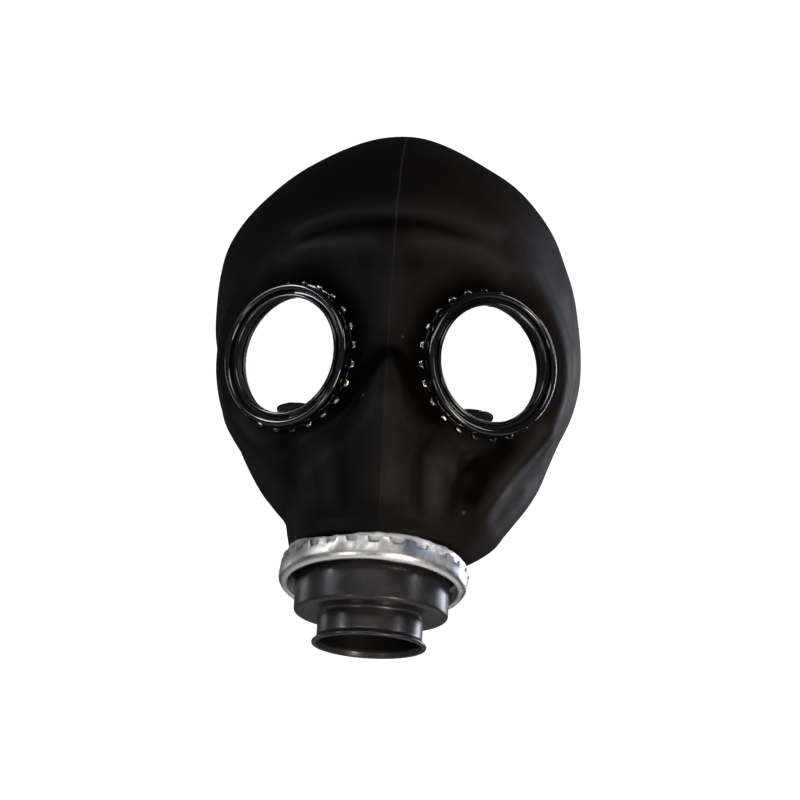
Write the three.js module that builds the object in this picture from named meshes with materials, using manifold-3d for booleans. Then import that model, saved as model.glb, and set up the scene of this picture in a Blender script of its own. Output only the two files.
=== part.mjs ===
// Rubber face hood with two round eyepieces and a metal valve box under the chin,
// worn as a costume mask. Its back is open.
// Millimetres, +Z up. The face looks along -Y, and +X is on the right as seen from
// the front, so "left" and "right" below are the sides seen by someone facing it.
// The origin is on the centre plane, level with the eyes, midway between the ears.
import * as THREE from 'three';
import { mergeVertices } from 'three/addons/utils/BufferGeometryUtils.js';
import Module from 'manifold-3d';

const wasm = await Module();
wasm.setup();

// Shared clearances
const fit = 0.3; // between two pieces that bear on each other
const cutOver = 1; // how far a cutter runs past what it cuts
const weld = 1e-4; // corners closer than this are one

// Hood
const headHalfWidth = 89;
const crownHeight = 125.5;
const noseReach = 105; // from the ears forward to the front of the nose
const rearReach = 95; // from the ears back, as far as the skull would go
const rubberWall = 2;
const edgeBeadWall = 1; // extra thickness along the free edge
const edgeBeadWidth = 6;
const socketLip = 0.7; // lip inside the chin, above the bore that takes the valve box
const foldLift = 2.4;
const foldWidth = 6;
const foldStart = 20; // folds fade in from this far ahead of the ears
const foldFull = 50;
const tubeFade = 14; // folds die away this far above the clamp
const tubeOver = 1; // how far the rubber runs straight above the collar
const crownCap = 1; // the crown is level this far round its top

// Eyepieces
const eyeHalfSpacing = 48;
const eyeForwardShare = 0.8; // front plane of the rim, ahead of the ears, as a share of noseReach
const eyeTurn = THREE.MathUtils.degToRad(29.5); // each eye looks outwards by this
const rimRadius = 33;
const rimBeadDepth = 5.4;
const rimUndercut = 0.4; // the bead is this much narrower at its back
const rimLand = 1.5; // and at its front
const rimDish = 1; // the pocket starts this far behind the front
const rimDepth = 13;
const sleeveWall = 1.7;
const sightRadius = 27.7; // clear opening behind the glass
const ledgeDepth = 9.2; // the glass lies on a ledge this far behind the rim's front
const ledgeThickness = 1;
const glassThickness = 1.5;
const retainerThickness = 1.3;
const retainerWidth = 1.7;
const toothCount = 24;
const toothLength = 1.9;
const toothGapShare = 0.3; // of the pitch, then the flank, then the tooth
const toothFlankShare = 0.08;
const toothTipShare = 0.54;
const toothRingThickness = 1.2;
const backingThickness = 1.4;
const backingWidth = 3.6;
const padFlat = 3; // the rubber stays flat this far outside the teeth
const padBlend = 21; // and runs out into the face over this width
const seatRise = 0.15; // the seat itself stands this proud of the flat

// Valve box
const valveForwardShare = 0.581; // centre of its upper end, ahead of the ears, likewise
const valveDrop = 102.7; // and below the eyes
const valveAside = 3.1; // it sits a little to the left of the centre plane
const valveTilt = THREE.MathUtils.degToRad(8.5); // its foot leans forward
const drumRadius = 35;
const drumBelow = 12.6; // what shows of the drum below the clamp
const drumAbove = 12; // what is hidden in the rubber
const sheet = 1.2; // metal of the box
const drumEase = 1.6; // cut off the drum's lower edge
const neckRadius = 23.9;
const neckLength = 13.8;
const mouthFlare = 2.2;
const mouthRoll = 2;
const mouthTurn = 1; // height in which the neck turns out into the roll
const inletRadius = 12;
const flapOverlap = 3.2;
const flapThickness = 1;
const studRadius = 2.6;
const studHeight = 1.6;

// Clamp over the rubber
const bandHeight = 14;
const bandBulge = 4.2; // how far it stands out from its lower lip
const bandMetal = 1.2;
const bandTilt = THREE.MathUtils.degToRad(6); // it sits askew on the box, its front too high
const bandPlay = 1; // room that the tilt takes up
const bandSkew = 1.5; // its upper edge lies this far to the right of its lower lip
const bandSlant = THREE.MathUtils.degToRad(3); // and runs down to the right
const bandRoll = 3; // height of the rounding from its wall into its lower lip
const crimpCount = 26;
const crimpDepth = 0.8;
const crimpedEdge = 4.5;
const bandDip = 3.4; // the upper edge is bent down at the front left
const dipAngle = THREE.MathUtils.degToRad(118); // there, round the valve axis from +X
const dipSpread = THREE.MathUtils.degToRad(31);
const collarMetal = 0.8;
const collarShows = 0.5; // what shows of the collar above the band
const collarFoot = 6.5; // its hidden edge, above the clamp's lower lip
const slotPairs = 12;
const slotWidth = 5;
const slotHeight = 1.3;
const slotBelowEdge = 1.3;

// Air ducts, moulded strips inside the cheeks that end behind the glass
const ductThickness = 1.6;
const ductStandOff = 1; // beyond the usual fit, because the cheek behind it is folded
const ductHalfWidth = 8;
const ductTaper = 0.35; // its upper end is narrower by this share
const ductClear = 2; // it keeps this far outside the toothed ring where it passes behind
const ductBlend = 7;

// Fineness of the facets
const hoodColumns = 38;
const socketRows = 2;
const faceRows = 20;
const crownRows = 7;
const crownFrom = 0.56; // rows are wider apart above this share of crownHeight
const faceCrowding = 0.38; // columns at the face are this much closer together than the mean
const eyeSides = 20;
const valveSides = 28;
const boreSides = 48;
const seatSides = 36;
const ductColumns = 4;
const ductRows = 9;
const halvings = 30; // steps in the search for a height
const slopeStep = 0.02; // distance over which a slope is taken

// Dependent sizes
const eyeForward = eyeForwardShare * noseReach;
const valveForward = valveForwardShare * noseReach;
const sleeveRadius = sightRadius + fit + sleeveWall + retainerWidth;
const toothRadius = sleeveRadius + fit + backingWidth;
const toothRingFront = rimBeadDepth + fit;
const seatDepth = toothRingFront + toothRingThickness + fit;
const backingFront = seatDepth + rubberWall + fit;
const eyeBore = (sleeveRadius + fit) / Math.cos(Math.PI / seatSides);
const padRadius = toothRadius + padFlat;
const tubeRadius = drumRadius + fit + rubberWall;
const collarInner = tubeRadius + fit;
const collarOuter = collarInner + collarMetal;
const bandLip = tubeRadius + fit + bandPlay;
const bandOuter = bandLip + bandBulge;
const bandTopRadius = collarOuter + fit + bandSkew + bandMetal;
const collarHeight = bandHeight + collarShows;
const tubeEnd = fit + bandMetal + bandLip * Math.sin(bandTilt); // hidden behind the clamp's lower lip
const tubeLength = collarHeight + tubeOver;

const up = new THREE.Vector3(0, 0, 1);
const valveAxis = new THREE.Vector3(0, -Math.sin(valveTilt), -Math.cos(valveTilt));
const valveTop = new THREE.Vector3(-valveAside, -valveForward, -valveDrop);

// Sections of the head from the chin to the crown, as shares: height of crownHeight above
// the eyes and of valveDrop below them, shift and front of noseReach, lean of valveTilt,
// left and right of headHalfWidth, rear of rearReach.
const headSections = [
  { height: -0.836, shift: -0.557, lean: 1.0, left: 0.470, right: 0.466, front: 0.388, rear: 0.42 },
  { height: -0.783, shift: -0.500, lean: 1.0, left: 0.490, right: 0.565, front: 0.430, rear: 0.42 },
  { height: -0.705, shift: -0.455, lean: 1.0, left: 0.515, right: 0.632, front: 0.508, rear: 0.48 },
  { height: -0.636, shift: -0.410, lean: 1.0, left: 0.578, right: 0.685, front: 0.574, rear: 0.54 },
  { height: -0.558, shift: -0.340, lean: 1.0, left: 0.658, right: 0.742, front: 0.660, rear: 0.62 },
  { height: -0.460, shift: -0.250, lean: 0.9, left: 0.735, right: 0.798, front: 0.757, rear: 0.71 },
  { height: -0.352, shift: -0.170, lean: 0.6, left: 0.805, right: 0.842, front: 0.833, rear: 0.81 },
  { height: -0.235, shift: -0.095, lean: 0.4, left: 0.868, right: 0.890, front: 0.894, rear: 0.90 },
  { height: -0.098, shift: -0.028, lean: 0.2, left: 0.917, right: 0.955, front: 0.930, rear: 0.96 },
  { height: 0.040, shift: 0.000, lean: 0.0, left: 0.956, right: 0.992, front: 0.927, rear: 0.99 },
  { height: 0.160, shift: 0.000, lean: 0.0, left: 0.994, right: 0.993, front: 0.922, rear: 1.00 },
  { height: 0.280, shift: 0.000, lean: 0.0, left: 1.000, right: 0.973, front: 0.914, rear: 1.00 },
  { height: 0.400, shift: 0.000, lean: 0.0, left: 0.990, right: 0.940, front: 0.890, rear: 0.98 },
  { height: 0.500, shift: 0.000, lean: 0.0, left: 0.961, right: 0.891, front: 0.843, rear: 0.95 },
  { height: 0.605, shift: 0.000, lean: 0.0, left: 0.884, right: 0.830, front: 0.770, rear: 0.89 },
  { height: 0.700, shift: 0.000, lean: 0.0, left: 0.774, right: 0.741, front: 0.680, rear: 0.80 },
  { height: 0.785, shift: 0.005, lean: 0.0, left: 0.650, right: 0.628, front: 0.590, rear: 0.69 },
  { height: 0.855, shift: 0.020, lean: 0.0, left: 0.520, right: 0.482, front: 0.488, rear: 0.56 },
  { height: 0.912, shift: 0.038, lean: 0.0, left: 0.395, right: 0.353, front: 0.390, rear: 0.43 },
  { height: 0.956, shift: 0.057, lean: 0.0, left: 0.283, right: 0.236, front: 0.286, rear: 0.31 },
  { height: 0.984, shift: 0.067, lean: 0.0, left: 0.165, right: 0.135, front: 0.171, rear: 0.19 },
  { height: 1.000, shift: 0.076, lean: 0.0, left: 0.000, right: 0.000, front: 0.000, rear: 0.00 },
];

// Free edge of the hood in side view: height as above, back as a share of rearReach.
const freeEdge = [
  { height: -1.30, back: -0.13 },
  { height: -0.93, back: -0.13 },
  { height: -0.80, back: -0.07 },
  { height: -0.68, back: 0.01 },
  { height: -0.50, back: 0.09 },
  { height: -0.30, back: 0.15 },
  { height: 0.00, back: 0.20 },
  { height: 0.25, back: 0.23 },
  { height: 0.45, back: 0.28 },
  { height: 0.65, back: 0.36 },
  { height: 0.80, back: 0.43 },
  { height: 0.95, back: 0.52 },
  { height: 1.20, back: 0.60 },
];

// Folds and channels of the face. Each line runs through points of the front view: across
// as a share of headHalfWidth, height as above. lift is a share of foldLift, outwards
// where positive, and width of foldWidth.
const folds = [
  { what: 'forehead roll', lift: 0.67, width: 1.00,
    line: [[-0.58, 0.46], [-0.27, 0.53], [0.00, 0.57], [0.27, 0.56], [0.56, 0.49]] },
  { what: 'brow crease', lift: -0.92, width: 0.55,
    line: [[-0.52, 0.43], [-0.22, 0.49], [0.00, 0.50], [0.27, 0.49], [0.39, 0.46]] },
  { what: 'brow roll, left', lift: 0.88, width: 1.08,
    line: [[-0.63, 0.30], [-0.46, 0.38], [-0.25, 0.41], [-0.04, 0.41]] },
  { what: 'brow roll, right', lift: 0.88, width: 1.08,
    line: [[0.04, 0.42], [0.31, 0.43], [0.49, 0.38], [0.64, 0.30]] },
  { what: 'hollow under the brow, left', lift: -0.83, width: 0.63,
    line: [[-0.19, 0.33], [-0.12, 0.34], [-0.08, 0.33]] },
  { what: 'hollow under the brow, right', lift: -0.75, width: 0.63,
    line: [[0.06, 0.35], [0.10, 0.35], [0.17, 0.33]] },
  { what: 'nose bridge strip', lift: 0.42, width: 1.17,
    line: [[0.01, 0.33], [0.02, 0.21], [0.04, 0.04]] },
  { what: 'nose flank crease, left', lift: -0.92, width: 0.55,
    line: [[-0.01, -0.01], [-0.12, -0.12], [-0.25, -0.25]] },
  { what: 'nose flank crease, right', lift: -0.92, width: 0.55,
    line: [[0.07, -0.03], [0.17, -0.19], [0.34, -0.30]] },
  { what: 'nose ridge', lift: 0.67, width: 1.33,
    line: [[0.01, -0.14], [0.01, -0.39], [0.00, -0.70]] },
  { what: 'groove beside the nose, left', lift: -0.42, width: 0.57,
    line: [[-0.22, -0.31], [-0.21, -0.49], [-0.19, -0.70]] },
  { what: 'air channel, left', lift: 0.75, width: 1.17,
    line: [[-0.40, -0.32], [-0.31, -0.47], [-0.28, -0.71]] },
  { what: 'air channel, right', lift: 0.92, width: 1.17,
    line: [[0.43, -0.33], [0.31, -0.44], [0.27, -0.72]] },
  { what: 'inner edge of the right channel', lift: -0.58, width: 0.45,
    line: [[0.27, -0.32], [0.21, -0.40], [0.18, -0.71]] },
  { what: 'outer edge of the right channel', lift: -0.75, width: 0.50,
    line: [[0.52, -0.38], [0.42, -0.48], [0.37, -0.60], [0.37, -0.72]] },
  { what: 'cheek hollow, left', lift: -0.58, width: 1.00,
    line: [[-0.58, -0.35], [-0.49, -0.49], [-0.45, -0.64]] },
  { what: 'cheek hollow, right', lift: -0.67, width: 0.83,
    line: [[0.58, -0.35], [0.51, -0.49], [0.46, -0.64]] },
  { what: 'flap ridge', lift: 0.71, width: 0.50,
    line: [[0.83, -0.20], [0.70, -0.40], [0.57, -0.57], [0.48, -0.70]] },
  { what: 'groove under the flap', lift: -0.46, width: 0.43,
    line: [[0.88, -0.26], [0.75, -0.45], [0.64, -0.60], [0.56, -0.71]] },
  { what: 'jaw roll, left', lift: 0.58, width: 1.17,
    line: [[-0.81, -0.20], [-0.64, -0.44], [-0.48, -0.66]] },
];
const foldSteps = 10;

// Route of an air duct up the inside of the cheek: turn is the angle from the centre plane
// in degrees, height as above.
const ductRoute = [
  { turn: 26, height: -0.65 },
  { turn: 29, height: -0.52 },
  { turn: 33, height: -0.38 },
  { turn: 36, height: -0.235 },
];

const heightOf = (share) => share * (share > 0 ? crownHeight : valveDrop);

// Keeps only positions, shares the vertices, and turns the faces outwards if need be
function closedGeometry(geometry) {
  geometry.deleteAttribute('normal');
  geometry.deleteAttribute('uv');
  const merged = mergeVertices(geometry, weld);
  const at = merged.attributes.position;
  const corner = [0, 1, 2].map(() => new THREE.Vector3());
  let volume = 0;
  for (let i = 0; i < merged.index.count; i += 3) {
    corner.forEach((point, k) => point.fromBufferAttribute(at, merged.index.getX(i + k)));
    volume += corner[0].dot(corner[1].clone().cross(corner[2]));
  }
  if (volume < 0) {
    merged.index.array.reverse();
  }
  return merged;
}

function toSolid(geometry) {
  const closed = closedGeometry(geometry);
  return new wasm.Manifold(new wasm.Mesh({
    numProp: 3,
    vertProperties: new Float32Array(closed.attributes.position.array),
    triVerts: new Uint32Array(closed.index.array),
  }));
}

function toGeometry(solid) {
  const mesh = solid.getMesh();
  const geometry = new THREE.BufferGeometry();
  geometry.setAttribute('position', new THREE.BufferAttribute(mesh.vertProperties, 3));
  geometry.setIndex(new THREE.BufferAttribute(mesh.triVerts, 1));
  return geometry;
}

// A ring turned round the local Z axis from a closed profile of [radius, along] pairs
function turnedRing(profile, sides) {
  const points = profile.map(([radius, along]) => new THREE.Vector2(radius, along));
  points.push(points[0].clone());
  return new THREE.LatheGeometry(points, sides).rotateX(Math.PI / 2);
}

// A plug turned round the local Z axis, whose profile starts and ends on it
function turnedPlug(profile, sides) {
  const points = profile.map(([radius, along]) => new THREE.Vector2(radius, along));
  return new THREE.LatheGeometry(points, sides).rotateX(Math.PI / 2);
}

// Places local +Z along a direction, with its origin at a point
function frameAlong(point, direction) {
  const turn = new THREE.Quaternion().setFromUnitVectors(up, direction);
  return new THREE.Matrix4().compose(point, turn, new THREE.Vector3(1, 1, 1));
}

function eyeFrame(side) {
  const outwards = new THREE.Vector3(side * Math.sin(eyeTurn), -Math.cos(eyeTurn), 0);
  const centre = new THREE.Vector3(side * eyeHalfSpacing, -eyeForward, 0);
  return { side, outwards, centre, matrix: frameAlong(centre, outwards) };
}
const eyes = [eyeFrame(-1), eyeFrame(1)];

// Rows of the hood's loft. The lowest ones are circles round the valve box.
function valveRow(above) {
  const { x, y, z } = valveTop.clone().addScaledVector(valveAxis, -above);
  return [x, y, z, valveTilt, tubeRadius, tubeRadius, tubeRadius, tubeRadius];
}
function headRow(row) {
  return [
    0,
    row.shift * noseReach,
    heightOf(row.height),
    row.lean * valveTilt,
    row.left * headHalfWidth,
    row.right * headHalfWidth,
    row.front * noseReach,
    row.rear * rearReach,
  ];
}
const loftRows = [
  valveRow(tubeEnd),
  valveRow((tubeEnd + tubeLength) / 2),
  valveRow(tubeLength),
  ...headSections.map(headRow),
];
const socketRow = 2;
const stations = [0];
for (let i = 1; i < loftRows.length; i += 1) {
  const [before, after] = [loftRows[i - 1], loftRows[i]];
  const rise = after[2] - before[2];
  const spread = after[6] - before[6];
  stations.push(stations[i - 1] + Math.hypot(rise, spread));
}
const lastStation = stations[stations.length - 1];
const loft = new THREE.CubicInterpolant(stations, loftRows.flat(), loftRows[0].length);

function stationAtHeight(height) {
  let [low, high] = [0, lastStation];
  for (let i = 0; i < halvings; i += 1) {
    const middle = (low + high) / 2;
    if (loft.evaluate(middle)[2] < height) {
      low = middle;
    } else {
      high = middle;
    }
  }
  return (low + high) / 2;
}

// The head's smooth surface. angle is 0 at the face and grows towards +X.
function bareSkin(angle, station) {
  const [middle, y, z, lean, left, right, front, rear] = loft.evaluate(station);
  const across = Math.sin(angle);
  const ahead = Math.cos(angle);
  const x = middle + across * (across < 0 ? left : right);
  const back = -ahead * (ahead > 0 ? front : rear);
  return new THREE.Vector3(x, y + back * Math.cos(lean), z - back * Math.sin(lean));
}

const foldLines = folds.map((fold) => {
  const points = fold.line.map(
    ([across, height]) => new THREE.Vector2(across * headHalfWidth, heightOf(height)));
  const line = new THREE.SplineCurve(points).getPoints(foldSteps);
  return { line, lift: fold.lift * foldLift, width: fold.width * foldWidth };
});

function distanceToLine(point, line) {
  let nearest = Infinity;
  for (let i = 1; i < line.length; i += 1) {
    const along = line[i].clone().sub(line[i - 1]);
    const share = THREE.MathUtils.clamp(
      point.clone().sub(line[i - 1]).dot(along) / along.lengthSq(), 0, 1);
    nearest = Math.min(nearest, point.distanceTo(line[i - 1].clone().addScaledVector(along, share)));
  }
  return nearest;
}

function foldRise(point) {
  const strength = THREE.MathUtils.smoothstep(-point.y, foldStart, foldFull);
  if (strength === 0) {
    return 0;
  }
  const seen = new THREE.Vector2(point.x, point.z);
  let rise = 0;
  for (const { line, lift, width } of foldLines) {
    const away = distanceToLine(seen, line) / width;
    rise += lift * Math.exp(-away * away);
  }
  return rise * strength;
}

// How far a point lies out from an eye's axis, and ahead of the flat seat of the rubber
function inEye(point, eye) {
  const from = point.clone().sub(eye.centre);
  const ahead = from.dot(eye.outwards);
  return { radius: Math.sqrt(from.lengthSq() - ahead * ahead), ahead: ahead + seatDepth + seatRise };
}

function normalOf(surface, angle, station) {
  if (station > lastStation - crownCap) {
    return up.clone();
  }
  const around = surface(angle + slopeStep, station).sub(surface(angle - slopeStep, station));
  const rising = surface(angle, station + slopeStep)
    .sub(surface(angle, Math.max(0, station - slopeStep)));
  return around.cross(rising).normalize();
}

// The outer skin: the smooth head, its folds, and a flat pad under each eyepiece
function skin(angle, station) {
  const point = bareSkin(angle, station);
  const pad = eyes.map((eye) => {
    const { radius } = inEye(point, eye);
    const near = 1 - THREE.MathUtils.smoothstep(radius, padRadius, padRadius + padBlend);
    return near * THREE.MathUtils.smoothstep(-point.y, 0, foldStart);
  });
  const foldShare = 1 - Math.max(...pad);
  const tube = stations[socketRow];
  const clearOfTube = THREE.MathUtils.smoothstep(station, tube, tube + tubeFade);
  const rise = foldRise(point) * foldShare * clearOfTube;
  point.addScaledVector(normalOf(bareSkin, angle, station), rise);
  eyes.forEach((eye, i) => {
    point.addScaledVector(eye.outwards, -inEye(point, eye).ahead * pad[i]);
  });
  return point;
}

const edgeCurve = new THREE.SplineCurve(
  freeEdge.map((row) => new THREE.Vector2(row.back * rearReach, heightOf(row.height))));
const edgePoints = edgeCurve.getPoints(freeEdge.length * 2);

function innerSkin(angle, station, depth) {
  const point = skin(angle, station);
  const fromEdge = distanceToLine(new THREE.Vector2(point.y, point.z), edgePoints);
  const bead = edgeBeadWall * (1 - THREE.MathUtils.smoothstep(fromEdge, 0, edgeBeadWidth));
  const socket = station < stations[socketRow] ? socketLip : 0;
  return point.addScaledVector(normalOf(skin, angle, station), -(depth + bead + socket));
}

// Columns are closest together at the face
function columnAngle(share) {
  const across = 2 * share - 1;
  return Math.PI * (faceCrowding * across + (1 - faceCrowding) * across ** 3);
}

// Rows from the tube's end to the crown, closest together over the face
function rowStations() {
  const stops = [0, stations[socketRow], stationAtHeight(heightOf(crownFrom)), lastStation];
  const counts = [socketRows, faceRows, crownRows];
  const rows = [0];
  counts.forEach((count, i) => {
    for (let k = 1; k <= count; k += 1) {
      rows.push(stops[i] + (stops[i + 1] - stops[i]) * k / count);
    }
  });
  return rows;
}

// A closed skin from a sphere's grid. Its lowest row is gathered into the tube's centre.
function closedSkin(pointAt, endDrop) {
  const rows = rowStations().reverse();
  const grid = new THREE.SphereGeometry(1, hoodColumns, rows.length);
  const at = grid.attributes.position;
  const foot = valveTop.clone().addScaledVector(valveAxis, endDrop - tubeEnd);
  for (let row = 0; row <= rows.length; row += 1) {
    for (let column = 0; column <= hoodColumns; column += 1) {
      const angle = columnAngle((column % hoodColumns) / hoodColumns);
      let point = row === rows.length ? foot : pointAt(angle, rows[row]);
      if (row === rows.length - 1) {
        point = point.clone().addScaledVector(valveAxis, endDrop);
      }
      at.setXYZ(row * (hoodColumns + 1) + column, point.x, point.y, point.z);
    }
  }
  return toSolid(grid);
}

function rubberHood() {
  const outside = closedSkin(skin, 0);
  const inside = closedSkin((angle, station) => innerSkin(angle, station, rubberWall), cutOver);
  let hood = outside.subtract(inside);

  const far = rearReach + noseReach;
  const behind = new THREE.Shape([
    ...edgePoints,
    new THREE.Vector2(far, edgePoints[edgePoints.length - 1].y),
    new THREE.Vector2(far, edgePoints[0].y),
  ]);
  const width = 2 * (headHalfWidth + padBlend);
  const backCutter = new THREE.ExtrudeGeometry(behind, { depth: width, bevelEnabled: false });
  backCutter.applyMatrix4(new THREE.Matrix4().makeBasis(
    new THREE.Vector3(0, 1, 0), new THREE.Vector3(0, 0, 1), new THREE.Vector3(1, 0, 0)));
  hood = hood.subtract(toSolid(backCutter.translate(-width / 2, 0, 0)));

  const valveBore = turnedPlug([
    [0, -tubeLength], [drumRadius + fit, -tubeLength], [drumRadius + fit, cutOver], [0, cutOver],
  ], boreSides).applyMatrix4(frameAlong(valveTop, valveAxis));
  hood = hood.subtract(toSolid(valveBore));

  for (const eye of eyes) {
    const reach = rimDepth + padBlend;
    const seatBack = -seatDepth - rubberWall;
    const seatOuter = toothRadius + padFlat / 2;
    const flange = turnedRing([
      [eyeBore - cutOver, -seatDepth], [seatOuter, -seatDepth],
      [seatOuter, seatBack - seatRise / 2], [eyeBore - cutOver, seatBack - seatRise / 2],
    ], seatSides);
    const frontClear = turnedPlug([
      [0, seatRise / 2 - seatDepth], [toothRadius + fit, seatRise / 2 - seatDepth],
      [toothRadius + fit, reach], [0, reach],
    ], seatSides);
    const backClear = turnedPlug([
      [0, -reach], [toothRadius + fit, -reach], [toothRadius + fit, seatBack], [0, seatBack],
    ], seatSides);
    const bore = turnedPlug([[0, -reach], [eyeBore, -reach], [eyeBore, reach], [0, reach]], seatSides);
    hood = hood.add(toSolid(flange.applyMatrix4(eye.matrix)));
    for (const cutter of [frontClear, backClear, bore]) {
      hood = hood.subtract(toSolid(cutter.applyMatrix4(eye.matrix)));
    }
  }
  return toGeometry(hood);
}

// The rim is a sleeve through the rubber with a rolled bead in front and a ledge inside
function rimGeometry() {
  const pocket = sleeveRadius - sleeveWall;
  return turnedRing([
    [sightRadius, -rimDepth],
    [sleeveRadius, -rimDepth],
    [sleeveRadius, -rimBeadDepth],
    [rimRadius - rimUndercut, -rimBeadDepth],
    [rimRadius, -rimBeadDepth / 3],
    [rimRadius - rimLand, 0],
    [pocket, -rimDish],
    [pocket, -ledgeDepth],
    [sightRadius, -ledgeDepth],
  ], eyeSides);
}

function glassGeometry() {
  const radius = sleeveRadius - sleeveWall - fit;
  const back = -ledgeDepth + fit;
  return turnedPlug([[0, back], [radius, back], [radius, back + glassThickness],
    [0, back + glassThickness]], eyeSides);
}

// Snap ring that holds the glass down on its ledge
function retainerGeometry() {
  const outer = sleeveRadius - sleeveWall - fit;
  const back = -ledgeDepth + glassThickness + 2 * fit;
  const half = retainerThickness / 2;
  return turnedRing([
    [outer - retainerWidth, back],
    [outer, back],
    [outer - half, back + retainerThickness],
    [outer - retainerWidth, back + retainerThickness],
  ], eyeSides);
}

// Flat ring with bent teeth round its edge, between the rim's bead and the rubber
function toothRingGeometry() {
  const outline = [];
  const root = toothRadius - toothLength;
  for (let tooth = 0; tooth < toothCount; tooth += 1) {
    const pitch = 2 * Math.PI / toothCount;
    const rise = toothGapShare + toothFlankShare;
    for (const [share, radius] of [
      [0, root], [toothGapShare, root], [rise, toothRadius], [rise + toothTipShare, toothRadius],
    ]) {
      const angle = (tooth + share) * pitch;
      outline.push(new THREE.Vector2(radius * Math.cos(angle), radius * Math.sin(angle)));
    }
  }
  const shape = new THREE.Shape(outline);
  shape.holes.push(new THREE.Path().absarc(0, 0, sleeveRadius + fit, 0, 2 * Math.PI));
  const options = { depth: toothRingThickness, bevelEnabled: false, curveSegments: eyeSides / 2 };
  return new THREE.ExtrudeGeometry(shape, options)
    .translate(0, 0, -toothRingFront - toothRingThickness);
}

function backingGeometry() {
  const back = -backingFront - backingThickness;
  return turnedRing([
    [sleeveRadius + fit, back], [toothRadius, back],
    [toothRadius, -backingFront], [sleeveRadius + fit, -backingFront],
  ], eyeSides);
}

// Local +Z runs down the valve box, and 0 is the plane of the clamp's lower lip
function valveBoxGeometry() {
  const foot = drumBelow;
  const mouth = drumBelow + neckLength;
  const shelf = foot - 2 * sheet;
  return turnedRing([
    [drumRadius, -drumAbove],
    [drumRadius, foot - drumEase],
    [drumRadius - drumEase, foot],
    [neckRadius, foot],
    [neckRadius, mouth - mouthRoll - mouthTurn],
    [neckRadius + mouthFlare, mouth - mouthRoll / 2],
    [neckRadius + mouthFlare - sheet / 2, mouth],
    [neckRadius, mouth],
    [neckRadius - sheet, mouth - mouthRoll - mouthTurn],
    [neckRadius - sheet, shelf + sheet],
    [inletRadius, shelf + sheet],
    [inletRadius, shelf],
    [drumRadius - sheet, shelf],
    [drumRadius - sheet, -drumAbove],
  ].reverse(), valveSides);
}

// Inlet valve: a rubber disc that lies on the shelf over the opening, with its stud
function inletFlapGeometry() {
  const seat = drumBelow - 2 * sheet - fit;
  const radius = inletRadius + flapOverlap;
  return turnedPlug([
    [0, seat], [radius, seat], [radius, seat - flapThickness],
    [studRadius, seat - flapThickness], [studRadius, seat - flapThickness - studHeight],
    [0, seat - flapThickness - studHeight],
  ].reverse(), eyeSides);
}

// Clamp band: a channel rolled from sheet, crimped along its upper edge
function clampBandGeometry() {
  const top = -bandHeight;
  const inner = bandOuter - bandMetal;
  const geometry = turnedRing([
    [bandTopRadius - bandMetal, top],
    [bandTopRadius, top],
    [bandOuter, top + crimpedEdge],
    [bandOuter, -bandRoll],
    [(bandLip + bandOuter) / 2, 0],
    [bandLip, -bandMetal / 2],
    [inner, -bandRoll],
    [inner, top + crimpedEdge],
  ], 2 * crimpCount);
  const at = geometry.attributes.position;
  for (let i = 0; i < at.count; i += 1) {
    const share = THREE.MathUtils.smoothstep(-at.getZ(i), bandRoll, bandHeight);
    const angle = Math.atan2(at.getY(i), at.getX(i));
    const crimp = crimpDepth * (1 + Math.cos(crimpCount * angle)) / 2;
    const bent = bandDip * Math.exp(-(((angle - dipAngle) / dipSpread) ** 2));
    const slant = at.getX(i) * Math.tan(bandSlant);
    at.setX(i, at.getX(i) + share * bandSkew);
    at.setZ(i, at.getZ(i) + share * (share * (crimp + bent) + slant));
  }
  return geometry;
}

// Slotted collar between the rubber and the band
function clampCollarGeometry() {
  const top = -collarHeight;
  const ring = toSolid(turnedRing([
    [collarInner, top], [collarOuter, top], [collarOuter, -collarFoot], [collarInner, -collarFoot],
  ].reverse(), valveSides));
  let slots = null;
  for (let i = 0; i < slotPairs; i += 1) {
    const slot = new THREE.BoxGeometry(2 * (collarOuter + cutOver), slotWidth, slotHeight)
      .translate(0, 0, top + slotBelowEdge + slotHeight / 2)
      .rotateZ((i + 0.5) * Math.PI / slotPairs);
    slots = slots ? slots.add(toSolid(slot)) : toSolid(slot);
  }
  return toGeometry(ring.subtract(slots));
}

// Duct strip laid on the inside of the cheek. Its upper end stands up behind the glass.
function airDuctGeometry(eye) {
  const turn = new THREE.SplineCurve(ductRoute.map((row) => new THREE.Vector2(
    row.turn, stationAtHeight(heightOf(row.height)))));
  const grid = new THREE.BoxGeometry(2, 1, 1, ductColumns, ductRows, 1);
  const at = grid.attributes.position;
  for (let i = 0; i < at.count; i += 1) {
    const across = at.getX(i);
    const along = at.getY(i) + 0.5;
    const inwards = 0.5 - at.getZ(i);
    const spot = turn.getPoint(along);
    const station = spot.y;
    const angle = eye.side * THREE.MathUtils.degToRad(spot.x);
    const centre = skin(angle, station);
    const reach = ductHalfWidth / Math.hypot(centre.x, centre.y);
    const depth = rubberWall + fit + ductStandOff + inwards * ductThickness;
    const narrowed = across * reach * (1 - ductTaper * along * along);
    const point = innerSkin(angle + narrowed, station, depth);
    const { radius, ahead } = inEye(point, eye);
    const clear = toothRadius + ductClear;
    const behindRim = 1 - THREE.MathUtils.smoothstep(radius, clear, clear + ductBlend);
    const highest = seatDepth + seatRise - rimDepth - fit - inwards * ductThickness;
    point.addScaledVector(eye.outwards, behindRim * Math.min(0, highest - ahead));
    at.setXYZ(i, point.x, point.y, point.z);
  }
  return grid;
}

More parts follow.
